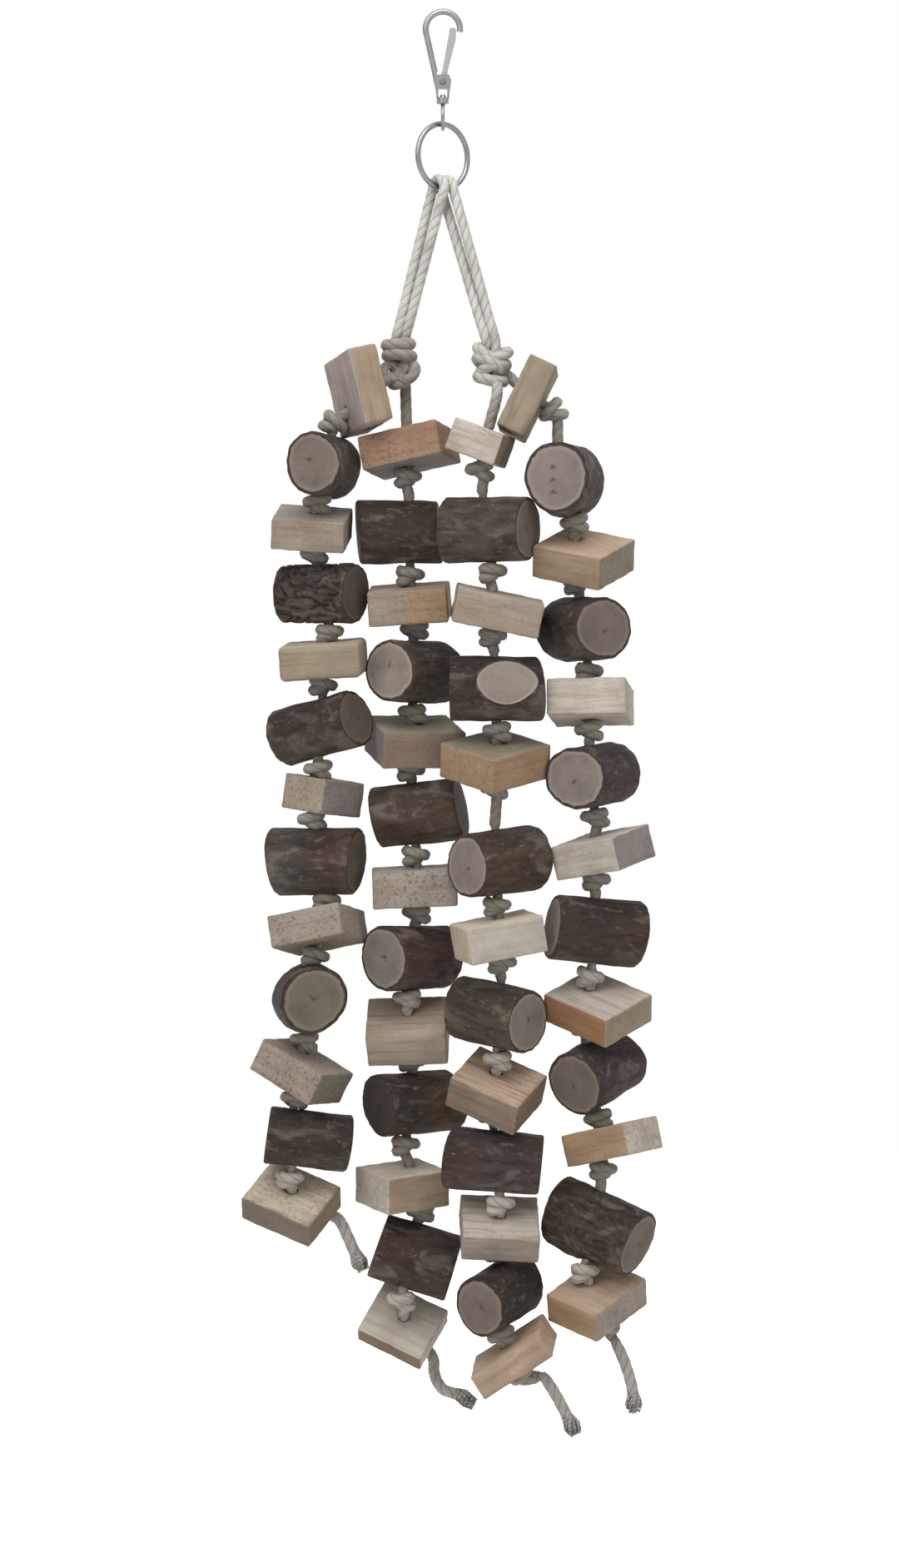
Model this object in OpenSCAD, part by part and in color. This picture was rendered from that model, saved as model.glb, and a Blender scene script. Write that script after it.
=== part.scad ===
// Hanging chew toy for a bird cage: four knotted rope strands of drilled logs and sawn blocks,
// tied to a steel ring that hangs from a swivel snap hook.
// +X is to the right, +Y is to the back, +Z is up. The origin is where the hook's bow bears on a bar.

/* [Rope] */
// Diameter of the laid cotton rope
rope_d = 6; // [5:0.25:7]
// Outer width of a small overhand knot
knot_w = 16; // [15:0.25:19]
// Height of a small overhand knot along the rope
knot_h = 8.4; // [8:0.2:10]
// Outer width of the two double knots below the ring
big_knot_w = 20.5; // [19:0.25:24]
// Height of the two double knots below the ring
big_knot_h = 31; // [29:0.5:36]
// Play round the rope in a drilled hole
hole_play = 0.4; // [0.3:0.05:0.8]
// Play between a knot and the piece that rests on it
rest_play = 0.3; // [0.2:0.05:0.6]
// Height of the ropes' legs between the ring and the double knots
leg_h = 84; // [70:1:100]

/* [Logs] */
// Usual diameter of a log, over its bark
log_d = 38; // [34:0.5:42]
// Usual length of a log
log_len = 51; // [44:0.5:56]
// How far a log is out of round, as a share of its radius
log_oval = 0.05; // [0:0.01:0.1]
// Width of the worn rim where a log was sawn off
log_rim = 1.2; // [0.8:0.1:2]
// Height of a branch stub that was sawn off flush with a log's front
stub_d = 26; // [20:0.5:30]
// How far a sawn branch stub stands out of the bark
stub_out = 1.5; // [0.5:0.1:2]
// How far a sawn branch stub looks up
stub_up = 9; // [0:1:30]

/* [Blocks] */
// Usual length of a sawn block, along X before it turns
block_w = 49; // [42:0.5:54]
// Usual width of a sawn block
block_d = 43; // [38:0.5:48]
// Usual thickness of a sawn block, along its hole
block_t = 21; // [18:0.5:24]
// Width of the worn edges of a sawn block
block_edge = 1.2; // [0.6:0.1:2]

/* [Strands] */
// How far the inner right strand hangs in front of the inner left one
front_step = 30; // [28:1:40]

/* [Ring] */
// Outer diameter of the steel ring
ring_d = 40; // [36:0.5:46]
// Diameter of the ring's wire
ring_wire = 3.2; // [2.8:0.1:4]
// Turn of the ring about the vertical
ring_turn = 40; // [30:1:50]
// Play between links that hang in one another
link_play = 0.25; // [0.15:0.05:0.5]
// Play between the ring's wire and the ropes that are folded over it
fold_play = 0.6; // [0.5:0.05:1]

/* [Swivel eye] */
// Diameter of the eye's wire
eye_wire = 2.2; // [2:0.1:2.6]
// Inner diameter of the eye
eye_d = 11; // [9:0.25:13]
// Diameter of the swivel's post
post_d = 2.6; // [2.2:0.1:3]
// Diameter of the post's peened head
post_head_d = 4; // [3.6:0.1:4.4]
// Thickness of the post's peened head
post_head_h = 1.6; // [1.2:0.1:2]

/* [Snap hook] */
// Diameter of the hook's arm
arm_d = 3.6; // [3:0.1:4.2]
// Inner radius of the bow that hangs on the bar
bow_r = 8; // [7:0.1:10]
// Height from the bar down to the gate's rivet
gate_h = 38.5; // [36:0.5:46]
// Thickness of the hook's base, front to back
base_t = 5.4; // [4.8:0.1:6]
// Width of the hook's base at the swivel
base_w = 7.6; // [7:0.1:8.6]
// Width and height of the window that shows the post's head
window_h = 5; // [4.6:0.1:5.4]
// Height of the barrel that holds the post
barrel_h = 3.4; // [2.6:0.1:4.5]
// Diameter of the gate's rivet
rivet_d = 2.2; // [1.8:0.1:2.6]
// Thickness of the gate, front to back
gate_t = 2.4; // [2:0.1:2.8]
// Width of the gate
gate_w = 3.4; // [3:0.1:4]
// Play round the rivet, the post and the gate
pin_play = 0.1; // [0.05:0.05:0.2]

/* [Hidden] */
$fn = 48;
rope_r = rope_d / 2;
hole_r = rope_r + hole_play;
knot_r = (knot_w - rope_d) / 2;
knot_hs = [knot_h - 1.2, knot_h, knot_h - 1.2, knot_h]; // two of the strands are knotted tighter
function knot_tilt(s) = asin((knot_hs[s] - rope_d) / (knot_w - rope_d));
big_knot_r = (big_knot_w - rope_d) / 2;
core_half = rope_r / 2; // half the height of a small knot's core, hidden by its turns
inner_turn = 0.93; // a knot's second turn is a little tighter than its first
turn_step = 35;
log_sides = 16;
tail_sides = 10;
stub_stretch = 1.4; // width of a branch stub's sawn face over its height

STRANDS = ["far_left", "inner_left", "inner_right", "far_right"];
PIECES = 13;
WOOD = [for (s = STRANDS, i = [0:PIECES - 1]) str(s, "_", i < 9 ? "0" : "", i + 1, i % 2 == 0 ? "_block" : "_log")];
HARDWARE = ["rope_left", "rope_right", "rope_tails", "steel_ring", "swivel_eye", "snap_hook", "hook_gate",
    "gate_rivet"];

// One row for each piece of a strand, from the top, blocks and logs by turns. A row holds the rope's lean
// to the right and to the back in degrees, the bare rope above the piece, the piece's three turns and its
// three sizes. A block turns by its pitch, roll and yaw, and its sizes are shares of the usual length,
// width and thickness. A log turns by its own spin, the rise of its right end and its yaw, and its sizes
// are the shares of the usual diameter and length, and the rise of its bark scar. A fourth is the place
// of a sawn branch stub on its front, to the right of the log's middle.
far_left = [
    [[-50, 4, 7], [-22, 76, 0], [0.90, 1.0, 0.84], [-6, 0]],
    [[-12, -4, 1], [90, 0, 77], [0.90, 0.94, 0], [-3, 0]],
    [[-4, 6, 0], [16, 2, -8], [0.86, 0.95, 0.85], [-2, 0]],
    [[12, -2, 0], [200, 0, -20], [0.93, 0.88, 2], [-2, 0]],
    [[-8, 0, 0], [6, -4, -4], [0.96, 0.95, 0.95], [-2, 0]],
    [[-4, 0, 0], [0, 12, -34], [0.90, 1.0, 0], [0, 0]],
    [[-6, 0, 0], [2, 8, 48], [0.68, 0.74, 0.95], [7, -1]],
    [[10, 0, 0], [90, 0, -19], [0.96, 0.97, 0], [-2, 0]],
    [[-11, -4, 0], [-12, -8, -21], [0.90, 0.96, 0.90], [-2, 0]],
    [[-8, 2, 0], [310, 0, 97], [1.02, 0.90, 0]],
    [[-10, 0, 0], [12, 26, -22], [0.87, 0.88, 0.95], [2, 0]],
    [[-2, -4, 0], [0, -7, 4], [0.90, 0.92, 0], [9, 0]],
    [[4, 24, 1.5], [38, 0, -31], [0.95, 0.92, 0.75], [-1, 0]],
];
inner_left = [
    [[2, -4, 25], [-8, -10, -15], [0.97, 0.98, 0.95], [1, 0]],
    [[1, 0, 7], [0, 0, 0], [1.0, 0.92, 0], [-6, 0]],
    [[4, 4, 1], [8, -4, -2], [0.93, 0.95, 0.95], [-1.5, 0]],
    [[-1, -2, 0], [30, 0, 54], [0.96, 0.90, 0], [0, 0]],
    [[-2, 6, 0], [15, 3, 14], [0.98, 0.95, 1.02], [2, 0]],
    [[4, -4, 0], [0, 6, -10], [0.98, 0.98, 0], [3, 0]],
    [[0, 0, 2], [4, -2, 4], [0.99, 0.95, 1.0], [-1, 0]],
    [[-7, -2, 2], [90, 0, 48], [0.92, 0.98, 0], [2, 0]],
    [[6, 10, 2], [30, -6, -8], [0.94, 0.98, 0.95], [-1, 0]],
    [[-5, -4, 0], [20, 2, 36], [0.96, 0.96, 2], [3, 0]],
    [[12, 4, 7], [10, 0, 34], [0.85, 0.86, 1.0], [-8, 0]],
    [[-12, -10, 0], [75, -17, -6], [0.96, 0.90, 0], [3, 0]],
    [[8, 38, 5], [59, 0, -29], [0.84, 0.82, 0.70], [-2, 0]],
];
inner_right = [
    [[-12, 2, 23], [4, 20, -13], [0.64, 0.92, 0.88], [-3, 0]],
    [[7, -2, 9.2], [0, 0, -20], [1.02, 0.96, 0], [0, 0]],
    [[1, 2, 5.2], [6, 12, 6], [1.02, 0.95, 0.95], [2.5, 0]],
    [[2, -2, 5.2], [20, 0, 4], [1.0, 1.00, 0, 5], [0, 0]],
    [[-3, 8, 1.2], [18, 2, 43], [0.96, 0.98, 0.98], [0, 0]],
    [[2, -4, 17.2], [0, 6, 33], [1.02, 0.90, 0], [3, 0]],
    [[4, 2, 2.2], [6, -9, 15], [0.93, 0.95, 1.0], [-1, 0]],
    [[-3, -4, 4.2], [0, -10, -31], [1.00, 0.90, 0], [-4, 0]],
    [[-4, 18, 1.5], [34, 10, -21], [0.91, 0.90, 0.95], [1, 0]],
    [[5, -10, 0], [10, -4, -6], [0.96, 1.04, 0], [-1, 0]],
    [[-2, 22, 0], [36, 4, 2], [0.90, 0.90, 0.80], [0, 0]],
    [[2, -12, 0], [90, 12, 62], [0.88, 0.98, 0]],
    [[28, 8, 0], [8, -34, -8], [0.95, 0.90, 0.74], [1, 0]],
];
far_right = [
    [[51, 0, 8.5], [-3, -64, 0], [0.90, 1.0, 0.82], [-3, 0]],
    [[11, -4, 13], [90, 0, 77], [1.02, 0.92, 2], [-2, 0]],
    [[4, 10, 3], [22, 2, -30], [0.88, 0.98, 0.92], [5, 0]],
    [[7, -4, 1], [0, 0, -64], [1.0, 0.85, 0], [2.6, 0]],
    [[0, -2, 1], [-10, 0, -7], [0.92, 0.95, 1.0], [1, 0]],
    [[4, 0, 2], [10, 4, 60], [0.96, 0.88, 0], [2.8, 0]],
    [[1, 2, 5], [4, -13, -34], [0.9, 1.04, 0.92], [5, 0]],
    [[-3, -4, 3], [180, -5, 14], [1.04, 1.0, 2], [1, 0]],
    [[-6, 16, 0], [30, 0, -40], [0.93, 0.92, 0.87], [7, 0]],
    [[8, -8, 0], [40, 15, 56], [0.94, 0.94, 0], [6, 0]],
    [[7, 0, 0], [-4, -12, -36], [0.88, 0.90, 0.88], [8, 0]],
    [[-11, -4, 5], [90, -20, -27], [1.0, 1.04, 2], [3, 0]],
    [[20, 16, 0], [31, -4, -41], [0.74, 1.06, 0.90], [2, 0]],
];
ROWS = [far_left, inner_left, inner_right, far_right];

// Unit direction of the rope that leans to the right and to the back by a row's angles, going down
function unit(v) = v / norm(v);
function rope_way(row) = unit([tan(row[0][0]), tan(row[0][1]), -1]);

// Direction of a block's holes and of a log's length after their turns
function block_up(t) = [sin(t[1]) * cos(t[0]), -sin(t[0]), cos(t[1]) * cos(t[0])];
function log_way(t) = [cos(t[2]) * cos(t[1]), sin(t[2]) * cos(t[1]), sin(t[1])];

function is_block(i) = i % 2 == 0;
// The straight way through a piece: across a block's faces, or through a log's middle across its length
function across(v, axis) = unit(v - axis * (v * axis));
function face_way(row, i) = is_block(i) ? block_up(row[1]) : across(rope_way(row), log_way(row[1]));
function angle_between(a, b) = acos(min(1, abs(a * b)));
function skew(row, i) = angle_between(rope_way(row), face_way(row, i));
function half_through(row, i) =
    (is_block(i) ? block_t * row[2][2] : log_d * row[2][0] * (1 + log_oval)) / 2 / cos(skew(row, i));
// A knot lies across the middle of the two ropes that meet in it
function knot_way(s, k) = unit(rope_way(ROWS[s][max(0, k - 1)]) + rope_way(ROWS[s][min(k, PIECES - 1)]));
// Distance along the rope from the middle of knot k to the face of piece i that it bears on
function knot_stand(s, i, k) = let (row = ROWS[s][i])
    (knot_r * sin(min(90, angle_between(knot_way(s, k), face_way(row, i)) + knot_tilt(s))) + rope_r)
    / cos(skew(row, i)) + rest_play;
function row_drop(s, i) = ROWS[s][i][0][2] + 2 * half_through(ROWS[s][i], i) + (i == 0 ? 1 : knot_stand(s, i, i))
    + knot_stand(s, i, i + 1);

// The knots' middles down a strand, from the point where it leaves its double knot
function knots_from(s, p, i = 0) =
    i == PIECES ? [p] : concat([p], knots_from(s, p + rope_way(ROWS[s][i]) * row_drop(s, i), i + 1));

// The gate's rivet, the swivel and the ring, downwards from the bar
rivet_z = -gate_h;
window_z = rivet_z - rivet_d / 2 - 2.7 - window_h / 2;
barrel_z = window_z - window_h / 2 - barrel_h;
eye_z = barrel_z - link_play - eye_wire - eye_d;
ring_top_z = eye_z + link_play + ring_wire;
ring_r = (ring_d - ring_wire) / 2;
ring_z = ring_top_z - ring_d / 2;
ring_low_z = ring_z - ring_r;
ring_way = [cos(ring_turn), sin(ring_turn), 0];
ring_out = [sin(ring_turn), -cos(ring_turn), 0];
fold_r = ring_wire / 2 + fold_play + rope_r;
fold_side = rope_r + 0.2; // the two folds lie side by side on the wire, 0.4 apart
arm_lean = 12.5;
nose_turn = 10;
bow_mid_r = bow_r + arm_d / 2;

// Each double knot: the middle of its height
leg_side = 26;
big_knot_z = ring_low_z - leg_h - big_knot_h / 2;
knot_depth = front_step / 4; // the left double knot hangs a little behind the right one
big_knots = [[1.5 - leg_side, knot_depth, big_knot_z], [1.5 + leg_side, -knot_depth, big_knot_z - 2]];

// Where each strand leaves its double knot, from the middle of the knot
starts = [
    big_knots[0] + [-8, 3 - knot_depth, -9.5],
    big_knots[0] + [3, knot_depth, -13],
    big_knots[1] + [3.5, -knot_depth, -13],
    big_knots[1] + [8, knot_depth - 3, -4.5]
];
strand_knots = [for (s = [0:3]) knots_from(s, starts[s])];

// Turns the Z axis to a direction
module along(v) {
    rotate([0, acos(v[2] / norm(v)), atan2(v[1], v[0])]) children();
}

// A straight round rod between two points
module rod(a, b, r) {
    translate(a) along(b - a) cylinder(r = r, h = norm(b - a));
}

module wire_ring(big_r, wire_r) {
    rotate_extrude($fn = 64) translate([big_r, 0]) circle(wire_r);
}

function piece_middle(s, i) = let (row = ROWS[s][i])
    strand_knots[s][i + 1] - rope_way(row) * (knot_stand(s, i, i + 1) + half_through(row, i));

// The drilled hole through a piece, along the rope
module rope_hole(row, i) {
    reach = half_through(row, i) + log_d;
    along(rope_way(row)) cylinder(r = hole_r, h = 2 * reach, center = true);
}

// A rectangle with worn corners, each cut by one straight facet
function worn_rect(w, h, e) = [
    [-w / 2 + e, -h / 2], [w / 2 - e, -h / 2], [w / 2, -h / 2 + e], [w / 2, h / 2 - e],
    [w / 2 - e, h / 2], [-w / 2 + e, h / 2], [-w / 2, h / 2 - e], [-w / 2, -h / 2 + e]
];

// A sawn block, cut from three sides. Its ends are sawn a little out of square.
module sawn_block(w, d, t, seed) {
    cut = 2.5 * sin(seed * 77);
    slant = 1.6 * sin(seed * 131);
    side = 4;
    intersection() {
        linear_extrude(t + side, center = true)
            polygon([for (p = worn_rect(w, d, block_edge)) [p[0] + cut * p[1] / d, p[1] + slant * p[0] / w]]);
        rotate([90, 0, 0]) linear_extrude(d + 3 * side, center = true) polygon([
            [-w / 2 - side, -t / 2 + block_edge + side], [-w / 2 + block_edge, -t / 2],
            [w / 2 - block_edge, -t / 2], [w / 2 + side, -t / 2 + block_edge + side],
            [w / 2 + side, t / 2 - block_edge - side], [w / 2 - block_edge, t / 2],
            [-w / 2 + block_edge, t / 2], [-w / 2 - side, t / 2 - block_edge - side]
        ]);
        rotate([90, 0, 90]) linear_extrude(w + 3 * side, center = true) polygon([
            [-d / 2 - side, -t / 2 + block_edge + side], [-d / 2 + block_edge - side, -t / 2 - side],
            [d / 2 - block_edge + side, -t / 2 - side], [d / 2 + side, -t / 2 + block_edge + side],
            [d / 2 + side, t / 2 - block_edge - side], [d / 2 - block_edge + side, t / 2 + side],
            [-d / 2 + block_edge - side, t / 2 + side], [-d / 2 - side, t / 2 - block_edge - side]
        ]);
    }
}

// A log's outline, a little out of round, with a scar that stands out where a branch was
function log_radius(r, a, u, seed, scar) =
    r * (1 + log_oval * cos(2 * a) + 0.012 * sin(3 * a + 131 * seed + 60 * u) - 0.02 * u * cos(50 * seed))
    + scar * exp(-pow((a - 180) / 28, 2) - pow((u + 0.35) / 0.3, 2));
function log_rings(half) = [[-1, log_rim], [-1 + log_rim / half, 0], [-0.35, 0], [0.3, 0], [1 - log_rim / half, 0],
    [1, log_rim]];

// A length of branch in its bark, sawn off a little out of square at both ends
module branch(d, l, scar, seed) {
    rings = log_rings(l / 2);
    saw = [0.10 * sin(seed * 57), 0.08 * sin(seed * 91)];
    points = [for (k = rings, j = [0:log_sides - 1])
        let (a = 360 * j / log_sides, r = log_radius(d / 2, a, k[0], seed, scar) - k[1],
            y = r * cos(a), z = r * sin(a))
        [k[0] * (l / 2 + saw[0] * y) + saw[1] * z * k[0] * k[0], y, z]];
    last = len(rings) - 1;
    polyhedron(points, concat(
        [[for (j = [0:log_sides - 1]) j]],
        [[for (j = [log_sides - 1:-1:0]) last * log_sides + j]],
        [for (k = [0:last - 1], j = [0:log_sides - 1])
            let (n = (j + 1) % log_sides)
            [k * log_sides + j, (k + 1) * log_sides + j, (k + 1) * log_sides + n, k * log_sides + n]]
    ));
}

// A branch stub that was sawn off flush: an oval post from the log's middle to just outside its front
module branch_stub(d) {
    rotate([90, 0, 0]) scale([stub_stretch, 1, 1]) cylinder(d = stub_d, h = d / 2 + stub_out);
}

module wood_piece(s, i) {
    row = ROWS[s][i];
    seed = s * PIECES + i + 1;
    turn = row[1];
    size = row[2];
    off_centre = len(row) > 3 ? row[3] : [0, 0];
    translate(piece_middle(s, i)) difference() {
        union() {
            if (is_block(i))
                rotate([0, turn[1], 0]) rotate([turn[0], 0, 0]) rotate([0, 0, turn[2]])
                    translate([off_centre[0], 0, 0])
                        sawn_block(block_w * size[0], block_d * size[1], block_t * size[2], seed);
            else
                rotate([turn[0], -turn[1], turn[2]]) translate([off_centre[0], 0, 0])
                    branch(log_d * size[0], log_len * size[1], size[2], seed);
            if (len(size) > 3)
                rotate([0, -turn[1], turn[2]]) translate([size[3], 0, 0]) rotate([-stub_up, 0, 0])
                    branch_stub(log_d * size[0]);
        }
        rope_hole(row, i);
    }
}

// A small overhand knot: two crossed turns of the rope round its core
module small_knot(p, way, spin, tilt) {
    translate(p) along(way) rotate([0, 0, spin]) {
        rotate([tilt, 0, 0]) wire_ring(knot_r, rope_r);
        rotate([0, 0, turn_step]) rotate([-tilt, 0, 0]) wire_ring(knot_r * inner_turn, rope_r);
        cylinder(r = knot_r * inner_turn, h = 2 * core_half, center = true);
    }
}

// One strand: rope from knot to knot, and a knot under each piece
module strand(s) {
    k = strand_knots[s];
    rows = ROWS[s];
    for (i = [0:PIECES - 1]) {
        way = rope_way(rows[i]) * core_half / 2;
        rod(i == 0 ? k[0] : k[i] + way, k[i + 1] - way, rope_r);
        small_knot(k[i + 1], knot_way(s, i + 1), 50 * i + 30 * s, knot_tilt(s));
    }
    translate(k[0]) along(rope_way(rows[0])) sphere(rope_r * 1.4);
    rod(k[PIECES] + end_way(s) * core_half / 2, end_point(s), rope_r);
}

// A double knot: two level turns above two crossed ones, round the four ropes that it joins
module double_knot(p, lean) {
    translate(p) rotate([0, lean, 0]) {
        for (t = [[0.36, 8, 0, 0.94], [0.15, -9, 40, 1], [-0.10, 26, 20, 0.96], [-0.30, -24, 70, 0.86]])
            translate([0, 0, t[0] * big_knot_h]) rotate([0, 0, t[2]]) rotate([t[1], 0, 0])
                wire_ring(big_knot_r * t[3], rope_r);
        cylinder(r = big_knot_r, h = big_knot_h * 0.72, center = true);
    }
}

// The two legs of a rope, folded over the ring's wire and down to the double knot
module legs(side, knot) {
    fold = [0, 0, ring_low_z] + ring_way * side * fold_side;
    translate(fold) rotate([0, 0, ring_turn]) rotate([90, 0, 90])
        rotate_extrude(angle = 180, $fn = 64) translate([fold_r, 0]) circle(rope_r);
    for (end = [-1, 1]) {
        leg_top = fold + ring_out * end * fold_r;
        translate(leg_top) sphere(rope_r * 1.03);
        rod(leg_top, knot + [end * (rope_r - 0.4), 0, big_knot_h * 0.3], rope_r);
    }
}

module rope_left() {
    color("#cfcabb") {
        legs(-1, big_knots[0]);
        double_knot(big_knots[0], 10);
        strand(0);
        strand(1);
    }
}

module rope_right() {
    color("#cfcabb") {
        legs(1, big_knots[1]);
        double_knot(big_knots[1], -10);
        strand(2);
        strand(3);
    }
}

// A free end of rope: its points go down from the last knot, and it keeps them when a strand moves
tails = [
    [[9, 4, 2], [18, 5, 5], [25, 4, 2], [30, 2, -7], [34, 1, -16], [39, 0, -26]],
    [[7, 4, -2], [14, 4, -8], [15, 3, -18], [20, 1, -26], [30, -1, -29], [37, -2, -34]],
    [[8, -2, 0], [18, -4, -9], [24, -4, -20], [30, -4, -32]],
    [[6, -2, -9], [12, -4, -22], [16, -5, -36], [17, -4, -49]],
];
// A round tube through a few points, with a flat face at each end
module soft_tube(points, r) {
    last = len(points) - 1;
    ring = [for (k = [0:last])
        let (way = unit(points[min(last, k + 1)] - points[max(0, k - 1)]), side = unit(cross(way, [0, 1, 0])),
            front = cross(way, side))
        for (j = [0:tail_sides - 1])
            points[k] + r * (cos(360 * j / tail_sides) * side + sin(360 * j / tail_sides) * front)];
    polyhedron(ring, concat(
        [[for (j = [0:tail_sides - 1]) j]],
        [[for (j = [tail_sides - 1:-1:0]) last * tail_sides + j]],
        [for (k = [0:last - 1], j = [0:tail_sides - 1])
            let (n = (j + 1) % tail_sides)
            [k * tail_sides + j, (k + 1) * tail_sides + j, (k + 1) * tail_sides + n, k * tail_sides + n]]
    ));
}

// Where the rope comes out of a strand's last knot, and its direction there
function end_way(s) = unit(tails[s][0]);
function end_point(s) = strand_knots[s][PIECES] + end_way(s) * (knot_r + rope_r + 1);

module rope_tails() {
    color("#cfcabb") for (s = [0:3])
        soft_tube(concat([end_point(s), end_point(s) + end_way(s) * rope_r],
            [for (t = tails[s]) if (norm(t) > knot_w) strand_knots[s][PIECES] + t]), rope_r);
}

module steel_ring() {
    color("#b9bbbd") translate([0, 0, ring_z]) rotate([0, 0, ring_turn]) rotate([90, 0, 0])
        rotate_extrude($fn = 96) translate([ring_r, 0]) circle(ring_wire / 2);
}

// The eye hangs below the barrel, and its post goes up through the barrel to a peened head in the window
module swivel_eye() {
    eye_r = (eye_d + eye_wire) / 2;
    head_z = window_z - window_h / 2 + pin_play;
    color("#b9bbbd") {
        translate([0, 0, eye_z + eye_d / 2]) rotate([0, 90, 0])
            rotate_extrude($fn = 64) translate([eye_r, 0]) circle(eye_wire / 2);
        translate([0, 0, eye_z + eye_d + eye_wire / 2]) cylinder(d = post_d, h = head_z - eye_z - eye_d - eye_wire / 2);
        translate([0, 0, head_z]) cylinder(d1 = post_head_d, d2 = post_head_d - post_head_h, h = post_head_h);
    }
}

// A flat shape in the hook's front view, with the rivet at its origin
module plate(t) {
    translate([0, 0, rivet_z]) rotate([90, 0, 0]) linear_extrude(t, center = true) children();
}

module snap_hook() {
    arm_top = bow_mid_r * [-cos(arm_lean), 0, -sin(arm_lean)] - [0, 0, bow_r];
    arm_low = arm_top + [tan(arm_lean), 0, -1] * (arm_top[2] - rivet_z);
    half = base_w / 2;
    color("#b9bbbd") difference() {
        union() {
            translate([0, 0, -bow_r]) rotate([90, 0, 0]) rotate([0, 0, -nose_turn])
                rotate_extrude(angle = 180 + nose_turn + arm_lean, $fn = 64)
                    translate([bow_mid_r, 0]) circle(d = arm_d);
            rod(arm_top, arm_low, arm_d / 2 - pin_play);
            plate(base_t) polygon([[-half - 1.9, 2.2], [-2.2, 4.2], [3.4, 4.2], [half + 1.1, 1], [half, -6.4],
                [half, window_z - rivet_z - window_h / 2], [-half, window_z - rivet_z - window_h / 2],
                [-half, -6.4], [-half - 1.1, -1]]);
            translate([0, 0, barrel_z]) cylinder(d = base_w - 0.8, h = barrel_h + 0.5);
        }
        // The slot the gate turns in, the holes for the rivet and the post, and the window
        plate(gate_t + 4 * pin_play) {
            circle(gate_w / 2 + 1.1);
            polygon([[-gate_w / 2 - 1.1, 0], [-gate_w / 2 - 2.2, 6], [12, 6], [gate_w / 2 + 1.1, 0]]);
        }
        translate([0, 0, rivet_z]) rotate([90, 0, 0]) cylinder(d = rivet_d + pin_play, h = 2 * base_t, center = true);
        translate([0, 0, window_z]) cube([window_h, 2 * base_t, window_h], center = true);
        translate([0, 0, barrel_z - 1]) cylinder(d = post_d + 2 * pin_play, h = barrel_h + 2);
    }
}

// The gate turns on the rivet and bears on the inside of the nose
module hook_gate() {
    tip_x = bow_r * cos(nose_turn) - 0.4;
    tip_z = gate_h - bow_r;
    color("#b9bbbd") plate(gate_t) difference() {
        union() {
            circle(d = gate_w + 1.4);
            polygon([[gate_w / 2 + 0.6, 0.6], [gate_w / 2 + 1.2, 7], [tip_x, tip_z - 6], [tip_x, tip_z - 0.4],
                [tip_x - 0.8, tip_z + 0.4], [tip_x - gate_w, tip_z + 0.4], [-0.2, 7], [-gate_w / 2 - 0.6, 0.6]]);
        }
        circle(d = rivet_d + 2 * pin_play);
    }
}

module gate_rivet() {
    head = [rivet_d + 1.4, 0.7];
    color("#8f9193") translate([0, 0, rivet_z]) rotate([90, 0, 0]) {
        cylinder(d = rivet_d, h = base_t + 1, center = true);
        for (side = [0, 180]) rotate([side, 0, 0])
            translate([0, 0, base_t / 2 + pin_play / 2]) cylinder(d1 = head[0], d2 = head[0] - head[1], h = head[1]);
    }
}

for (s = [0:3], i = [0:PIECES - 1])
    color(is_block(i) ? "#c2b198" : "#5b4d44") wood_piece(s, i);
rope_left();
rope_right();
rope_tails();
steel_ring();
swivel_eye();
snap_hook();
hook_gate();
gate_rivet();
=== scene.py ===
import math
import random

import bpy
from mathutils import Matrix, Vector, noise


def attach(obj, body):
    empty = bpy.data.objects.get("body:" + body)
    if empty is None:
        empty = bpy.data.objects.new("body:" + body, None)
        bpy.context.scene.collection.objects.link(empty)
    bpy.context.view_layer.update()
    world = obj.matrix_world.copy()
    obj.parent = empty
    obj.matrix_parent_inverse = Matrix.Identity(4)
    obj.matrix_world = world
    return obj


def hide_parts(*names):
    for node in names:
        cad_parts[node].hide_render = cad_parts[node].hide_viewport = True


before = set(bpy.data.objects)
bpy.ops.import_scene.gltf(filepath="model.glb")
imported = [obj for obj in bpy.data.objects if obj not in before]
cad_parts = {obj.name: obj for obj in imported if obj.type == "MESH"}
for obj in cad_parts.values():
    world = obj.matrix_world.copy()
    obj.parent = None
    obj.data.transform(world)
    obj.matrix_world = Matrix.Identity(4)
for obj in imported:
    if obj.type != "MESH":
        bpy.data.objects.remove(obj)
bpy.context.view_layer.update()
print("CAD frame loaded")

# Lengths are in mm here, as on the drawing, and become metres when a mesh is made
mm = 0.001

# Camera: straight on, far away, one image pixel is 0.475 mm at the ring

picture = {"x": 0.0038, "z": -0.4387, "height": 0.8944, "away": 3.0, "sensor": 24}


def addCamera(spec):
    data = bpy.data.cameras.new("camera")
    data.sensor_fit = "VERTICAL"
    data.sensor_height = spec["sensor"]
    data.lens = spec["sensor"] * spec["away"] / spec["height"]
    camera = bpy.data.objects.new("camera", data)
    camera.location = (spec["x"], -spec["away"], spec["z"])
    camera.rotation_euler = (math.radians(90), 0, 0)
    bpy.context.scene.collection.objects.link(camera)
    bpy.context.scene.camera = camera


addCamera(picture)

# The toy's sizes

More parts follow.
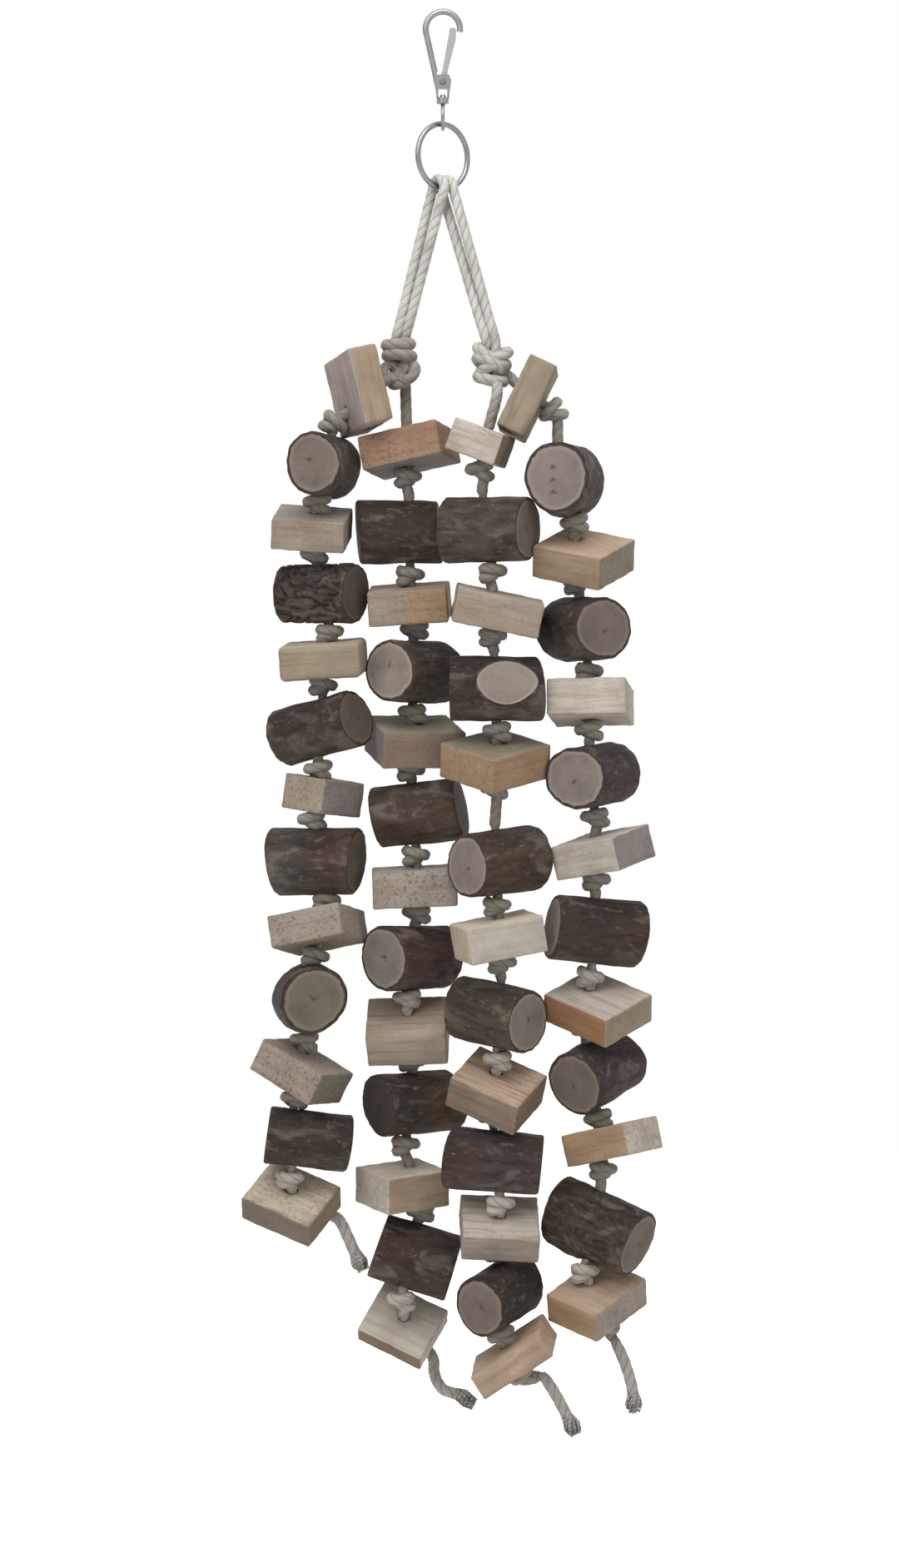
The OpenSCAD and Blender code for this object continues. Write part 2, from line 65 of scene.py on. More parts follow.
toy = {
    "ropeD": 6, "knotWide": 16, "knotHigh": [7.2, 8.4, 7.2, 8.4], "restPlay": 0.3, "holePlay": 0.4,
    "doubleHigh": 31, "firstPlay": 1,
    "logD": 38, "logLong": 51, "logOval": 0.05, "logRim": 1.2,
    "blockLong": 49, "blockWide": 43, "blockThick": 21, "blockEdge": 1.2,
    "ringD": 40, "ringWire": 3.2, "ringTurn": 40, "foldPlay": 0.6, "ringZ": -80.7,
    "legHigh": 84, "legSide": 26, "legsRight": 1.5, "rightLow": 2, "frontStep": 30,
}
ropeR = toy["ropeD"] / 2
knotR = (toy["knotWide"] - toy["ropeD"]) / 2
ringR = (toy["ringD"] - toy["ringWire"]) / 2
tones = {
    "lilac": "#aaa09c", "lilacGrey": "#8b8380", "grey": "#9a9087", "greyBeige": "#a09385",
    "beige": "#a99c8a", "cream": "#c4b8a4", "whitish": "#b9b0a5", "tan": "#a08d78", "orange": "#9f866c",
    "pink": "#9a7d68", "pinkTan": "#b39c88", "pinkGrey": "#8a7b70", "olive": "#968b78",
    "oliveBrown": "#8b7f6b", "greenGrey": "#868173", "darkGrey": "#7d7267", "brown": "#7c6a59",
    "rust": "#9c7558",
}
barkTones = {
    "brown": "#4a3e36", "dark": "#3a302b", "black": "#2a2422", "purple": "#433839", "grey": "#494642",
    "red": "#4b3833", "mauve": "#544943", "green": "#453e34", "tan": "#66543f",
}
endTones = {
    "grey": "#867c75", "pale": "#8f847c", "dark": "#5c5249", "olive": "#6e655a", "taupe": "#756a63",
    "black": "#3b322e",
}


def sawn(lean, turn, size, off=0, **look):
    # A sawn block. lean: the rope's lean to the right and to the back in degrees, then the bare rope above
    # the piece. turn and size: as on the drawing. off: how far the hole is off the piece's middle.
    return {"kind": "block", "lean": lean, "turn": turn, "size": size, "off": off, **look}


def branch(lean, turn, size, off=0, **look):
    # A log. stub: the place of a sawn branch stub on its front.
    return {"kind": "log", "lean": lean, "turn": turn, "size": size, "off": off, **look}


# Each strand's wood, from the top. A block has its tone, and may have others at its far end and where it
# faces front, right, left, top or low: lighter tops are painted light, darker lows painted shade, and the
# other facing tones partly the faces' own colours, partly painted light and shade. A log has the tones of
# its bark and of its sawn ends.
farLeft = [
    sawn((-50, 4, 7), (-22, 76, 0), (0.9, 1, 0.84), -6, tone="lilac", right="tan", speck=0.1),
    branch((-12, -4, 1), (90, 0, 77), (0.9, 0.94, 0), -3, bark="brown", end="taupe"),
    sawn((-4, 6, 0), (16, 2, -8), (0.86, 0.95, 0.85), -2, tone="greyBeige", top="grey", speck=0.3),
    branch((12, -2, 0), (200, 0, -20), (0.93, 0.88, 2), -2, bark="mauve", end="dark", gnarl=2.6),
    sawn((-8, 0, 0), (6, -4, -4), (0.96, 0.95, 0.95), -2, tone="olive", top="beige", speck=0.15, worn=3.2),
    branch((-4, 0, 0), (0, 12, -34), (0.9, 1, 0), 0, bark="dark", end="dark"),
    sawn((-6, 0, 0), (2, 8, 48), (0.68, 0.74, 0.95), 7, tone="greyBeige", right="lilacGrey", speck=0.6),
    branch((10, 0, 0), (90, 0, -19), (0.96, 0.97, 0), -2, bark="grey", end="dark", farBark="red"),
    sawn((-11, -4, 0), (-12, -8, -21), (0.9, 0.96, 0.9), -2, tone="grey", low="oliveBrown", speck=0.7),
    branch((-8, 2, 0), (310, 0, 97), (1.02, 0.9, 0), 0, bark="black", end="olive"),
    sawn((-10, 0, 0), (12, 26, -22), (0.87, 0.88, 0.95), 2, tone="grey", right="greenGrey", speck=0.8),
    branch((-2, -4, 0), (0, -7, 4), (0.9, 0.92, 0), 9, bark="dark", end="taupe"),
    sawn((4, 24, 1.5), (38, 0, -31), (0.95, 0.92, 0.75), -1, tone="darkGrey", top="cream",
         right="oliveBrown", speck=0.5),
]
innerLeft = [
    sawn((2, -4, 25), (-8, -10, -15), (0.97, 0.98, 0.95), 1, tone="pink", low="lilacGrey", speck=0.6),
    branch((1, 0, 7), (0, 0, 0), (1, 0.92, 0), -6, bark="dark", end="taupe"),
    sawn((4, 4, 1), (8, -4, -2), (0.93, 0.95, 0.95), -1.5, tone="greyBeige", far="orange", speck=0.4),
    branch((-1, -2, 0), (30, 0, 54), (0.96, 0.9, 0), 0, bark="brown", end="pale"),
    sawn((-2, 6, 0), (15, 3, 14), (0.98, 0.95, 1.02), 2, tone="pinkGrey", left="lilacGrey",
         top="greenGrey", speck=0.3),
    branch((4, -4, 0), (0, 6, -10), (0.98, 0.98, 0), 3, bark="brown", end="dark"),
    sawn((0, 0, 2), (4, -2, 4), (0.99, 0.95, 1), -1, tone="grey", speck=0.8),
    branch((-7, -2, 2), (90, 0, 48), (0.92, 0.98, 0), 2, bark="red", end="grey"),
    sawn((6, 10, 2), (30, -6, -8), (0.94, 0.98, 0.95), -1, tone="greyBeige", grain=0.5),
    branch((-5, -4, 0), (20, 2, 36), (0.96, 0.96, 2), 3, bark="black", end="black", farBark="tan"),
    sawn((12, 4, 7), (10, 0, 34), (0.85, 0.86, 1), -8, tone="whitish", left="whitish", right="tan",
         speck=0.15),
    branch((-12, -10, 0), (75, -17, -6), (0.96, 0.9, 0), 3, bark="dark", end="taupe"),
    sawn((8, 38, 5), (59, 0, -29), (0.84, 0.82, 0.7), -2, tone="whitish", low="brown", grain=0.3),
]
innerRight = [
    sawn((-12, 2, 23), (4, 20, -13), (0.64, 0.92, 0.88), -3, tone="whitish", right="brown", grain=0.5),
    branch((7, -2, 9.2), (0, 0, -20), (1.02, 0.96, 0), 0, bark="mauve", end="taupe"),
    sawn((1, 2, 5.2), (6, 12, 6), (1.02, 0.95, 0.95), 2.5, tone="greyBeige", speck=0.3),
    branch((2, -2, 5.2), (20, 0, 4), (1, 1, 0), 0, bark="dark", end="pale", stub=5),
    sawn((-3, 8, 1.2), (18, 2, 43), (0.96, 0.98, 0.98), 0, tone="tan", left="orange", right="orange",
         top="greenGrey", speck=0.3),
    branch((2, -4, 17.2), (0, 6, 33), (1.02, 0.9, 0), 3, bark="brown", end="pale"),
    sawn((4, 2, 2.2), (6, -9, 15), (0.93, 0.95, 1), -1, tone="cream", front="whitish", grain=0.2),
    branch((-3, -4, 4.2), (0, -10, -31), (1, 0.9, 0), -4, bark="green", end="grey"),
    sawn((-4, 18, 1.5), (34, 10, -21), (0.91, 0.9, 0.95), 1, tone="pinkGrey", top="pinkTan",
         right="brown", grain=0.8, speck=0.3),
    branch((5, -10, 0), (10, -4, -6), (0.96, 1.04, 0), -1, bark="purple", end="taupe"),
    sawn((-2, 22, 0), (36, 4, 2), (0.9, 0.9, 0.8), 0, tone="grey", top="whitish", grain=0.6, speck=0.2),
    branch((2, -12, 0), (90, 12, 62), (0.88, 0.98, 0), 0, bark="black", end="taupe"),
    sawn((28, 8, 0), (8, -34, -8), (0.95, 0.9, 0.74), 1, tone="pinkTan", speck=0.2),
]
farRight = [
    sawn((51, 0, 8.5), (-3, -64, 0), (0.9, 1, 0.82), -3, tone="olive", grain=0.5),
    branch((11, -4, 13), (90, 0, 77), (1.02, 0.92, 2), -2, bark="dark", end="grey", pith=3),
    sawn((4, 10, 3), (22, 2, -30), (0.88, 0.98, 0.92), 5, tone="tan", top="pinkTan", right="greenGrey"),
    branch((7, -4, 1), (0, 0, -64), (1, 0.85, 0), 2.6, bark="dark", end="taupe"),
    sawn((0, -2, 1), (-10, 0, -7), (0.92, 0.95, 1), 1, tone="whitish", speck=0.2),
    branch((4, 0, 2), (10, 4, 60), (0.96, 0.88, 0), 2.8, bark="purple", end="grey"),
    sawn((1, 2, 5), (4, -13, -34), (0.9, 1.04, 0.92), 5, tone="lilac", left="whitish",
         right="lilacGrey", grain=0.3, speck=0.2),
    branch((-3, -4, 3), (180, -5, 14), (1.04, 1, 2), 1, bark="dark", end="grey"),
    sawn((-6, 16, 0), (30, 0, -40), (0.93, 0.92, 0.87), 7, tone="tan", top="whitish", left="rust",
         right="olive"),
    branch((8, -8, 0), (40, 15, 56), (0.94, 0.94, 0), 6, bark="purple", end="taupe"),
    sawn((7, 0, 0), (-4, -12, -36), (0.88, 0.9, 0.88), 8, tone="tan", left="orange", right="whitish",
         speck=0.3),
    branch((-11, -4, 5), (90, -20, -27), (1, 1.04, 2), 3, bark="brown", end="taupe", gnarl=0.7),
    sawn((20, 16, 0), (31, -4, -41), (0.74, 1.06, 0.9), 2, tone="orange", top="pinkTan", right="grey"),
]
strands = {"far_left": farLeft, "inner_left": innerLeft, "inner_right": innerRight,
           "far_right": farRight}
strandNames = list(strands)


def sinD(a):
    return math.sin(math.radians(a))


def cosD(a):
    return math.cos(math.radians(a))


# Where the rope, the knots and the wood are

def ropeWay(piece):
    right, back = [math.tan(math.radians(a)) for a in piece["lean"][:2]]
    return Vector((right, back, -1)).normalized()


def faceWay(piece):
    t = piece["turn"]
    if piece["kind"] == "block":
        return Vector((sinD(t[1]) * cosD(t[0]), -sinD(t[0]), cosD(t[1]) * cosD(t[0])))
    axis = Vector((cosD(t[2]) * cosD(t[1]), sinD(t[2]) * cosD(t[1]), sinD(t[1])))
    way = ropeWay(piece)
    return (way - axis * way.dot(axis)).normalized()


def angleBetween(a, b):
    return math.degrees(math.acos(min(1, abs(a.dot(b)))))


def halfThrough(piece):
    if piece["kind"] == "block":
        thick = toy["blockThick"] * piece["size"][2]
    else:
        thick = toy["logD"] * piece["size"][0] * (1 + toy["logOval"])
    return thick / 2 / cosD(angleBetween(ropeWay(piece), faceWay(piece)))


def knotWay(rows, k):
    return (ropeWay(rows[max(0, k - 1)]) + ropeWay(rows[min(k, len(rows) - 1)])).normalized()


def knotStand(rows, i, k, high):
    tilt = math.degrees(math.asin((high - toy["ropeD"]) / (toy["knotWide"] - toy["ropeD"])))
    lean = min(90, angleBetween(knotWay(rows, k), faceWay(rows[i])) + tilt)
    skew = angleBetween(ropeWay(rows[i]), faceWay(rows[i]))
    return (knotR * sinD(lean) + ropeR) / cosD(skew) + toy["restPlay"]


doubleZ = toy["ringZ"] - ringR - toy["legHigh"] - toy["doubleHigh"] / 2
quarter = toy["frontStep"] / 4
doubleKnots = [Vector((toy["legsRight"] - toy["legSide"], quarter, doubleZ)),
               Vector((toy["legsRight"] + toy["legSide"], -quarter, doubleZ - toy["rightLow"]))]
# Where each strand leaves its double knot, from the knot's middle
leaves = [(-8, 3 - quarter, -9.5), (3, quarter, -13), (3.5, -quarter, -13), (8, quarter - 3, -4.5)]
starts = [doubleKnots[s // 2] + Vector(leave) for s, leave in enumerate(leaves)]


def hangStrand(s):
    # The knots' middles and the wood's middles, downwards from the double knot
    rows = strands[strandNames[s]]
    high = toy["knotHigh"][s]
    knots = [starts[s].copy()]
    middles = []
    for i, piece in enumerate(rows):
        above = knotStand(rows, i, i, high) if i else toy["firstPlay"]
        low = knotStand(rows, i, i + 1, high)
        drop = piece["lean"][2] + 2 * halfThrough(piece) + above + low
        knots.append(knots[-1] + ropeWay(piece) * drop)
        middles.append(knots[-1] - ropeWay(piece) * (low + halfThrough(piece)))
    return knots, middles


hung = [hangStrand(s) for s in range(4)]
print("strands hung:", [round(k[-1].z) for k, m in hung])

# Mesh helpers


def newPiece(name, verts, faces, materials, faceMaterials=None, smooth=True):
    mesh = bpy.data.meshes.new(name)
    mesh.from_pydata([v * mm for v in verts], [], faces)
    for m in materials:
        mesh.materials.append(m)
    if faceMaterials:
        mesh.polygons.foreach_set("material_index", faceMaterials)
    mesh.polygons.foreach_set("use_smooth", [smooth] * len(mesh.polygons))
    mesh.update()
    piece = bpy.data.objects.new(name, mesh)
    bpy.context.scene.collection.objects.link(piece)
    return piece


def bandFaces(bands, around, outward=True):
    # The four-sided faces between rings of corners
    faces = []
    for k in range(bands):
        for j in range(around):
            a = k * around + j
            b = k * around + (j + 1) % around
            faces.append((a, b, b + around, a + around) if outward else (a, a + around, b + around, b))
    return faces


def setVectors(mesh, name, values):
    layer = mesh.attributes.new(name, "FLOAT_VECTOR", "POINT")
    layer.data.foreach_set("vector", [c for v in values for c in v])


def setNumbers(mesh, name, values):
    layer = mesh.attributes.new(name, "FLOAT", "POINT")
    layer.data.foreach_set("value", values)


def setColours(mesh, name, values):
    layer = mesh.attributes.new(name, "FLOAT_COLOR", "POINT")
    layer.data.foreach_set("color", [c for v in values for c in (*v, 1.0)])


def linear(hexColour):
    # A written colour as linear light
    parts = [int(hexColour[i:i + 2], 16) / 255 for i in (1, 3, 5)]
    return Vector([p / 12.92 if p <= 0.04045 else ((p + 0.055) / 1.055) ** 2.4 for p in parts])


# Material helpers


class Nodes:
    # Short ways to add and join a material's nodes
    def __init__(self, name):
        self.material = bpy.data.materials.new(name)
        self.material.use_nodes = True
        self.tree = self.material.node_tree
        self.shader = self.tree.nodes["Principled BSDF"]

    def add(self, kind, inputs=None, **settings):
        node = self.tree.nodes.new(kind)
        for key, value in settings.items():
            setattr(node, key, value)
        for key, value in (inputs or {}).items():
            self.put(node, key, value)
        return node

    def put(self, node, key, value):
        if isinstance(value, bpy.types.NodeSocket):
            self.tree.links.new(value, node.inputs[key])
        else:
            node.inputs[key].default_value = value

    def read(self, name, output="Fac"):
        return self.add("ShaderNodeAttribute", attribute_name=name).outputs[output]

    def noise(self, vector, scales, detail, rough=0.55, distort=0.0):
        place = self.add("ShaderNodeMapping", {"Vector": vector, "Scale": scales})
        node = self.add("ShaderNodeTexNoise", {"Vector": place.outputs["Vector"], "Scale": 1.0,
                                               "Detail": detail, "Roughness": rough, "Distortion": distort})
        return node.outputs["Fac"]

    def ramp(self, value, stops):
        node = self.add("ShaderNodeValToRGB", {"Fac": value})
        elements = node.color_ramp.elements
        while len(elements) < len(stops):
            elements.new(0.5)
        for element, (place, level) in zip(elements, stops):
            element.position = place
            element.color = (level, level, level, 1)
        return node.outputs["Color"]

    def math(self, operation, a, b=0.0):
        node = self.add("ShaderNodeMath", {0: a, 1: b}, operation=operation)
        return node.outputs[0]

    def mix(self, factor, a, b, blend="MIX"):
        a, b = [c if isinstance(c, bpy.types.NodeSocket) else (*c, 1) for c in (a, b)]
        node = self.add("ShaderNodeMix", {0: factor, 6: a, 7: b}, data_type="RGBA", blend_type=blend)
        return node.outputs[2]

    def shade(self, base, value, stops):
        return self.mix(1.0, base, self.ramp(value, stops), "MULTIPLY")

    def blend(self, base, value, stops, colour, amount=None):
        # Mixes a colour in where the ramp says so, by as much as the piece has of it
        share = self.ramp(value, stops)
        if amount is not None:
            share = self.math("MULTIPLY", share, amount)
        return self.mix(share, base, linear(colour))

    def bump(self, height, strength, distance):
        node = self.add("ShaderNodeBump", {"Height": height, "Strength": strength, "Distance": distance})
        self.put(self.shader, "Normal", node.outputs["Normal"])

    def finish(self, colour, rough, specular):
        self.put(self.shader, "Base Color", colour)
        self.put(self.shader, "Roughness", rough)
        self.put(self.shader, "Specular IOR Level", specular)
        return self.material


barkLook = {"warm": "#5c4335", "patch": "#786c62", "pit": "#2a2320", "worn": "#8a7b6d", "crack": "#1c1614",
            "paintedTopLight": "#6b6155"}


def makeBark(look):
    n = Nodes("bark")
    tone = n.read("tone", "Color")
    where = n.read("local", "Vector")
    furrows = n.noise(where, (55, 190, 190), 5, 0.6, 0.9)
    patches = n.noise(where, (38, 62, 62), 3, 0.5, 1.0)
    flakes = n.noise(where, (190, 330, 330), 4, 0.65)
    spots = n.noise(where, (120, 160, 160), 2, 0.5, 0.5)
    warm = n.blend(tone, patches, [(0.34, 0.55), (0.5, 0.0)], look["warm"])
    # Darker in the bump's furrows and lighter on its ridges: partly the bark's own colour, partly painted
    # shade and painted light
    dark = n.shade(warm, furrows, [(0.30, 0.38), (0.46, 0.79), (0.70, 1.24)])
    shaded = n.shade(dark, patches, [(0.32, 0.62), (0.5, 0.95), (0.68, 1.2)])
    patched = n.blend(shaded, patches, [(0.55, 0.0), (0.68, 0.5)], look["patch"])
    pitted = n.blend(patched, spots, [(0.30, 0.6), (0.38, 0.0)], look["pit"])
    worn = n.blend(pitted, flakes, [(0.58, 0.0), (0.70, 0.4)], look["worn"])
    # The cracks dented into gnarled logs are darkened: partly their own colour, partly painted shade
    deep = n.math("MULTIPLY", n.read("crack"), 0.8)
    cracked = n.mix(deep, worn, linear(look["crack"]))
    n.bump(n.math("ADD", furrows, n.math("MULTIPLY", flakes, 0.6)), 0.85, 0.0016)
    return n.finish(cracked, 0.85, 0.3)


sawnLook = {"ring": "#5a4f47", "pith": "#453a33", "edge": "#352c28", "sapwood": (1.5, 1.48, 1.46),
            "rings": 30}


def makeSawnEnd(look):
    n = Nodes("sawnEnd")
    tone = n.read("endTone", "Color")
    where = n.read("local", "Vector")
    out = n.read("out")
    spots = n.read("spot")
    wander = n.noise(where, (20, 60, 60), 2)
    ringPlace = n.math("ADD", n.math("MULTIPLY", out, look["rings"]), n.math("MULTIPLY", wander, 12))
    rings = n.math("SINE", ringPlace)
    blotch = n.noise(where, (40, 75, 75), 3, 0.55)
    fine = n.noise(where, (500, 600, 300), 3, 0.6)
    base = n.shade(tone, blotch, [(0.3, 0.76), (0.5, 0.92), (0.72, 1.04)])
    ringed = n.blend(base, rings, [(0.0, 0.0), (1.0, 0.05)], look["ring"])
    grained = n.shade(ringed, fine, [(0.3, 0.93), (0.7, 1.05)])
    ragged = n.math("ADD", spots, n.math("MULTIPLY", n.math("SUBTRACT", fine, 0.5), 0.5))
    pithed = n.blend(grained, ragged, [(0.45, 0.0), (0.8, 0.75)], look["pith"])
    rim = n.math("ADD", out, n.math("MULTIPLY", n.math("SUBTRACT", blotch, 0.5), 0.06))
    sapwood = n.mix(1.0, tone, look["sapwood"], "MULTIPLY")
    pale = n.mix(n.ramp(rim, [(0.78, 0.0), (0.88, 0.45)]), pithed, sapwood)
    edged = n.blend(pale, rim, [(0.915, 0.0), (0.95, 0.9), (1.0, 1.0)], look["edge"])
    n.bump(fine, 0.25, 0.0005)
    return n.finish(edged, 0.88, 0.25)


woodLook = {"line": "#6b4f38", "band": "#9a6f4a", "dot": "#564d46"}


def makeBlockWood(look):
    n = Nodes("blockWood")
    tone = n.read("tone", "Color")
    where = n.read("local", "Vector")
    grainy = n.read("grain")
    specky = n.read("speck")
    lines = n.noise(where, (22, 330, 330), 4, 0.6, 0.6)
    broad = n.noise(where, (14, 90, 90), 3, 0.5, 1.2)
    stain = n.noise(where, (55, 55, 55), 3, 0.5)
    specks = n.noise(where, (520, 620, 620), 3, 0.55)
    saw = n.noise(where, (900, 60, 60), 2, 0.5)
    base = n.shade(tone, stain, [(0.3, 0.82), (0.55, 1.0), (0.75, 1.12)])
    lined = n.blend(base, lines, [(0.36, 0.75), (0.52, 0.0)], look["line"], grainy)
    banded = n.blend(lined, broad, [(0.52, 0.0), (0.7, 0.5)], look["band"], grainy)
    dotted = n.blend(banded, specks, [(0.36, 0.75), (0.46, 0.0)], look["dot"], specky)
    n.bump(n.math("ADD", n.math("MULTIPLY", lines, 0.5), n.math("MULTIPLY", saw, 0.4)), 0.25, 0.0006)
    return n.finish(dotted, 0.86, 0.25)


# groove: the tone of the creases between the rope's strands, painted shade
cottonLook = {"soil": "#8a8578", "groove": "#5a544b"}


def makeRope(look):
    n = Nodes("cottonRope")
    tone = n.read("tone", "Color")
    yarn = n.read("yarn", "Vector")
    groove = n.read("groove")
    fibres = n.noise(yarn, (1.6, 1.6, 0.55), 4, 0.65, 0.3)
    dirt = n.noise(yarn, (0.12, 0.12, 0.05), 3, 0.5)
    base = n.shade(tone, fibres, [(0.3, 0.72), (0.52, 1.0), (0.72, 1.12)])
    soiled = n.blend(base, dirt, [(0.45, 0.0), (0.7, 0.45)], look["soil"])
    # The creases between the strands are darkened: painted shade
    colour = n.blend(soiled, groove, [(0.1, 0.0), (1.0, 0.5)], look["groove"])
    n.bump(fibres, 0.55, 0.0006)
    n.put(n.shader, "Sheen Weight", 0.25)
    n.put(n.shader, "Sheen Roughness", 0.5)
    return n.finish(colour, 0.95, 0.15)


def makeSteel(name, colour, rough):
    n = Nodes(name)
    where = n.add("ShaderNodeTexCoord").outputs["Object"]
    cast = n.noise(where, (700, 700, 700), 3, 0.5)
    smudge = n.noise(where, (160, 160, 160), 3, 0.6)
    base = n.mix(n.ramp(smudge, [(0.4, 0.0), (0.7, 0.5)]), linear(colour), linear(colour) * 0.6)
    n.bump(cast, 0.18, 0.0003)
    n.put(n.shader, "Metallic", 1.0)
    roughness = n.add("ShaderNodeMapRange", {"Value": smudge, "To Min": rough - 0.06,
                                             "To Max": rough + 0.12})
    return n.finish(base, roughness.outputs["Result"], 0.5)


bark = makeBark(barkLook)
sawnEnd = makeSawnEnd(sawnLook)
blockWood = makeBlockWood(woodLook)
cotton = makeRope(cottonLook)
print("materials made")

# Rope: three laid strands, swept along a smooth path

ropeLook = {
    "lay": 20, "sides": 18, "step": 1.5, "hiddenStep": 7,
    "groove": 0.1, "grooveSharp": 1.6, "grooveShadeWide": 2.2, "shade": 0.12, "shadeSize": 0.03,
    "byWood": 1.12, "byKnot": 1.1, "lead": 1.5, "inside": 0.8, "trail": 0.3, "end": 3.5,
    "knotR": 3.2, "knotWide": 17.2, "lowerWide": 13, "knotLift": 1.7, "knotTilt": 12, "knotWave": 0.1,
    "knotShift": 2.2, "shiftFrom": 18, "shiftOver": 6, "coilSteps": 20,
    "tone": "#99928a", "legTone": "#cfcec8", "knotTone": "#968e86", "paintedLightTone": "#b8b1a8",
    # The listed knots get a lighter tone round them: painted light
    "paintedLightReach": 1.6, "paintedLightKnots": [(0, 12), (1, 12), (1, 8), (2, 8), (2, 10), (3, 8), (3, 12)],
    "legsTo": -176, "legsOver": 14, "strandsFrom": -212, "strandsOver": 24,
    "rightLighter": 0.6, "rightOver": 20,
}


def smoothStep(t):
    t = max(0.0, min(1.0, t))
    return t * t * (3 - 2 * t)


def coilPath(centre, way, turns, phase, rings, wave):
    # Turns of rope round an axis. rings: height, tilt and radius of each turn, from the top. phase: where
    # the turns cross, half a turn from their start. wave: how far they pass outside each other there.
    side = way.cross(Vector((0, 1, 0))).normalized()
    front = way.cross(side)
    points = []
    count = round(turns * ropeLook["coilSteps"])
    for j in range(count + 1):
        turn = j / count * turns
        k = min(len(rings) - 1, int(turn))
        following = rings[min(len(rings) - 1, k + 1)]
        change = smoothStep((turn - k - 0.7) / 0.3)
        height, tilt, radius = [a + (b - a) * change for a, b in zip(rings[k], following)]
        angle = math.radians(phase - 180) + 2 * math.pi * turn
        cross = angle - math.radians(phase)
        reach = 0.25 + 0.75 * smoothStep(min(turn, turns - turn) / 0.3)
        rise = radius * math.sin(math.radians(tilt)) * math.sin(cross)
        radius *= reach * (1 + wave * math.cos(cross) * (-1 if k % 2 else 1))
        points.append(centre + side * radius * math.cos(angle) + front * radius * math.sin(angle)
                      + way * (height + rise))
    return points


def strandPath(s, look):
    # One strand's rope from its double knot down to its loose end: (point, radius, hidden)
    rows = strands[strandNames[s]]
    knots, middles = hung[s]
    thin = look["knotR"]
    wide = look["knotWide"] / 2 - thin
    lowerWide = look["lowerWide"] / 2 - thin
    lift = look["knotLift"]
    byWood = ropeR * look["byWood"]
    byKnot = ropeR * look["byKnot"]
    path = [(knots[0], byKnot, False)]
    for i, piece in enumerate(rows):
        way = ropeWay(piece)
        half = halfThrough(piece)
        inside = half * look["inside"]
        for along, radius, hidden in ((-half - look["lead"], byWood, False), (-inside, ropeR, True),
                                      (inside, ropeR, True), (half + look["trail"], ropeR, False)):
            path.append((middles[i] + way * along, radius, hidden))
        hand = -1 if (i * 3 + s) % 4 < 2 else 1
        tilt = hand * (look["knotTilt"] + 5 * sinD(91 * i + 40 * s))
        across = 90 + 24 * sinD(137 * i + 60 * s)
        rings = [(-lift, tilt, wide), (lift + 0.4, -tilt * 1.4, lowerWide)]
        coil = coilPath(knots[i + 1], knotWay(rows, i + 1), 2, across, rings, look["knotWave"])
        for k, p in enumerate(coil):
            below = smoothStep((k - look["shiftFrom"]) / look["shiftOver"])
            path.append((p + Vector((hand * look["knotShift"] * below, -0.6 * below, 0)), thin, False))
    last = endPoint(s)
    return path + [(last - endWay(s) * look["end"], byKnot, False), (last, byWood, False)]


# Where each loose end goes, from its last knot's middle

tailWays = [
    [(9, 4, 2), (18, 5, 5), (25, 4, 2), (30, 2, -7), (34, 1, -16), (39, 0, -26)],
    [(7, 4, -2), (14, 4, -8), (15, 3, -18), (20, 1, -26), (30, -1, -29), (37, -2, -34)],
    [(8, -2, 0), (18, -4, -9), (24, -4, -20), (30, -4, -32)],
    [(6, -2, -9), (12, -4, -22), (16, -5, -36), (17, -4, -49)],
]


def endWay(s):
    return Vector(tailWays[s][0]).normalized()


def endPoint(s):
    return hung[s][0][-1] + endWay(s) * (knotR + ropeR + 1)


legLook = {"between": 0.2, "footIn": 0.4, "footUp": 0.42, "archStep": 18,
           "stops": (0.12, 0.3, 0.5, 0.7, 0.85, 1.0)}


def legsPath(side, centre, look):
    # Up one leg, over the ring's wire and down the other
    ringWay = Vector((cosD(toy["ringTurn"]), sinD(toy["ringTurn"]), 0))
    ringOut = Vector((sinD(toy["ringTurn"]), -cosD(toy["ringTurn"]), 0))
    foldR = toy["ringWire"] / 2 + toy["foldPlay"] + ropeR
    fold = Vector((0, 0, toy["ringZ"] - ringR)) + ringWay * side * (ropeR + look["between"])
    legs = []
    for end in (-1, 1):
        foot = centre + Vector((end * (ropeR - look["footIn"]), 0, toy["doubleHigh"] * look["footUp"]))
        top = fold + ringOut * end * foldR
        legs.append([top.lerp(foot, t) for t in look["stops"]])
    arch = [fold + ringOut * foldR * -cosD(a) + Vector((0, 0, foldR * sinD(a)))
            for a in range(0, 181, look["archStep"])]
    return [(p, ropeR, False) for p in legs[0][::-1] + arch + legs[1]]


# The closed turns of each double knot: middle from the knot's own, the way its axis points, radii across
# and along it, and the rope's radius there
doubleTurns = {
    -1: [
        ((0, 0, 11.2), (0.03, -0.05, 1), 6.7, 6.7, 3.6),
        ((0, 0, 4.6), (0.14, 0.10, 1), 6.9, 6.9, 3.6),
        ((-5.4, -2.2, -4.0), (0.25, -1, 0.35), 4.2, 4.6, 2.9),
        ((4.2, -2.8, -5.2), (-0.5, -1, 0.5), 5.0, 4.2, 3.2),
        ((2.0, 3.6, -4.4), (0.2, 0.4, 1), 5.6, 5.6, 3.3),
        ((-1, 1.5, -10.2), (-0.2, -0.3, 1), 4.2, 4.2, 3.1),
    ],
    1: [
        ((-1.4, 0, 6.2), (0.48, -0.25, 1), 8.0, 7.2, 3.2),
        ((2.0, 0, 5.4), (-0.42, -0.2, 1), 7.6, 7.2, 3.2),
        ((-1.2, -0.6, 0.4), (0.42, 0.25, 1), 7.8, 7.4, 3.3),
        ((1.4, 0, -1.6), (-0.40, 0.2, 1), 7.6, 7.0, 3.3),
        ((0.4, -0.4, -7.6), (0.12, -0.2, 1), 7.2, 6.4, 3.5),
    ],
}


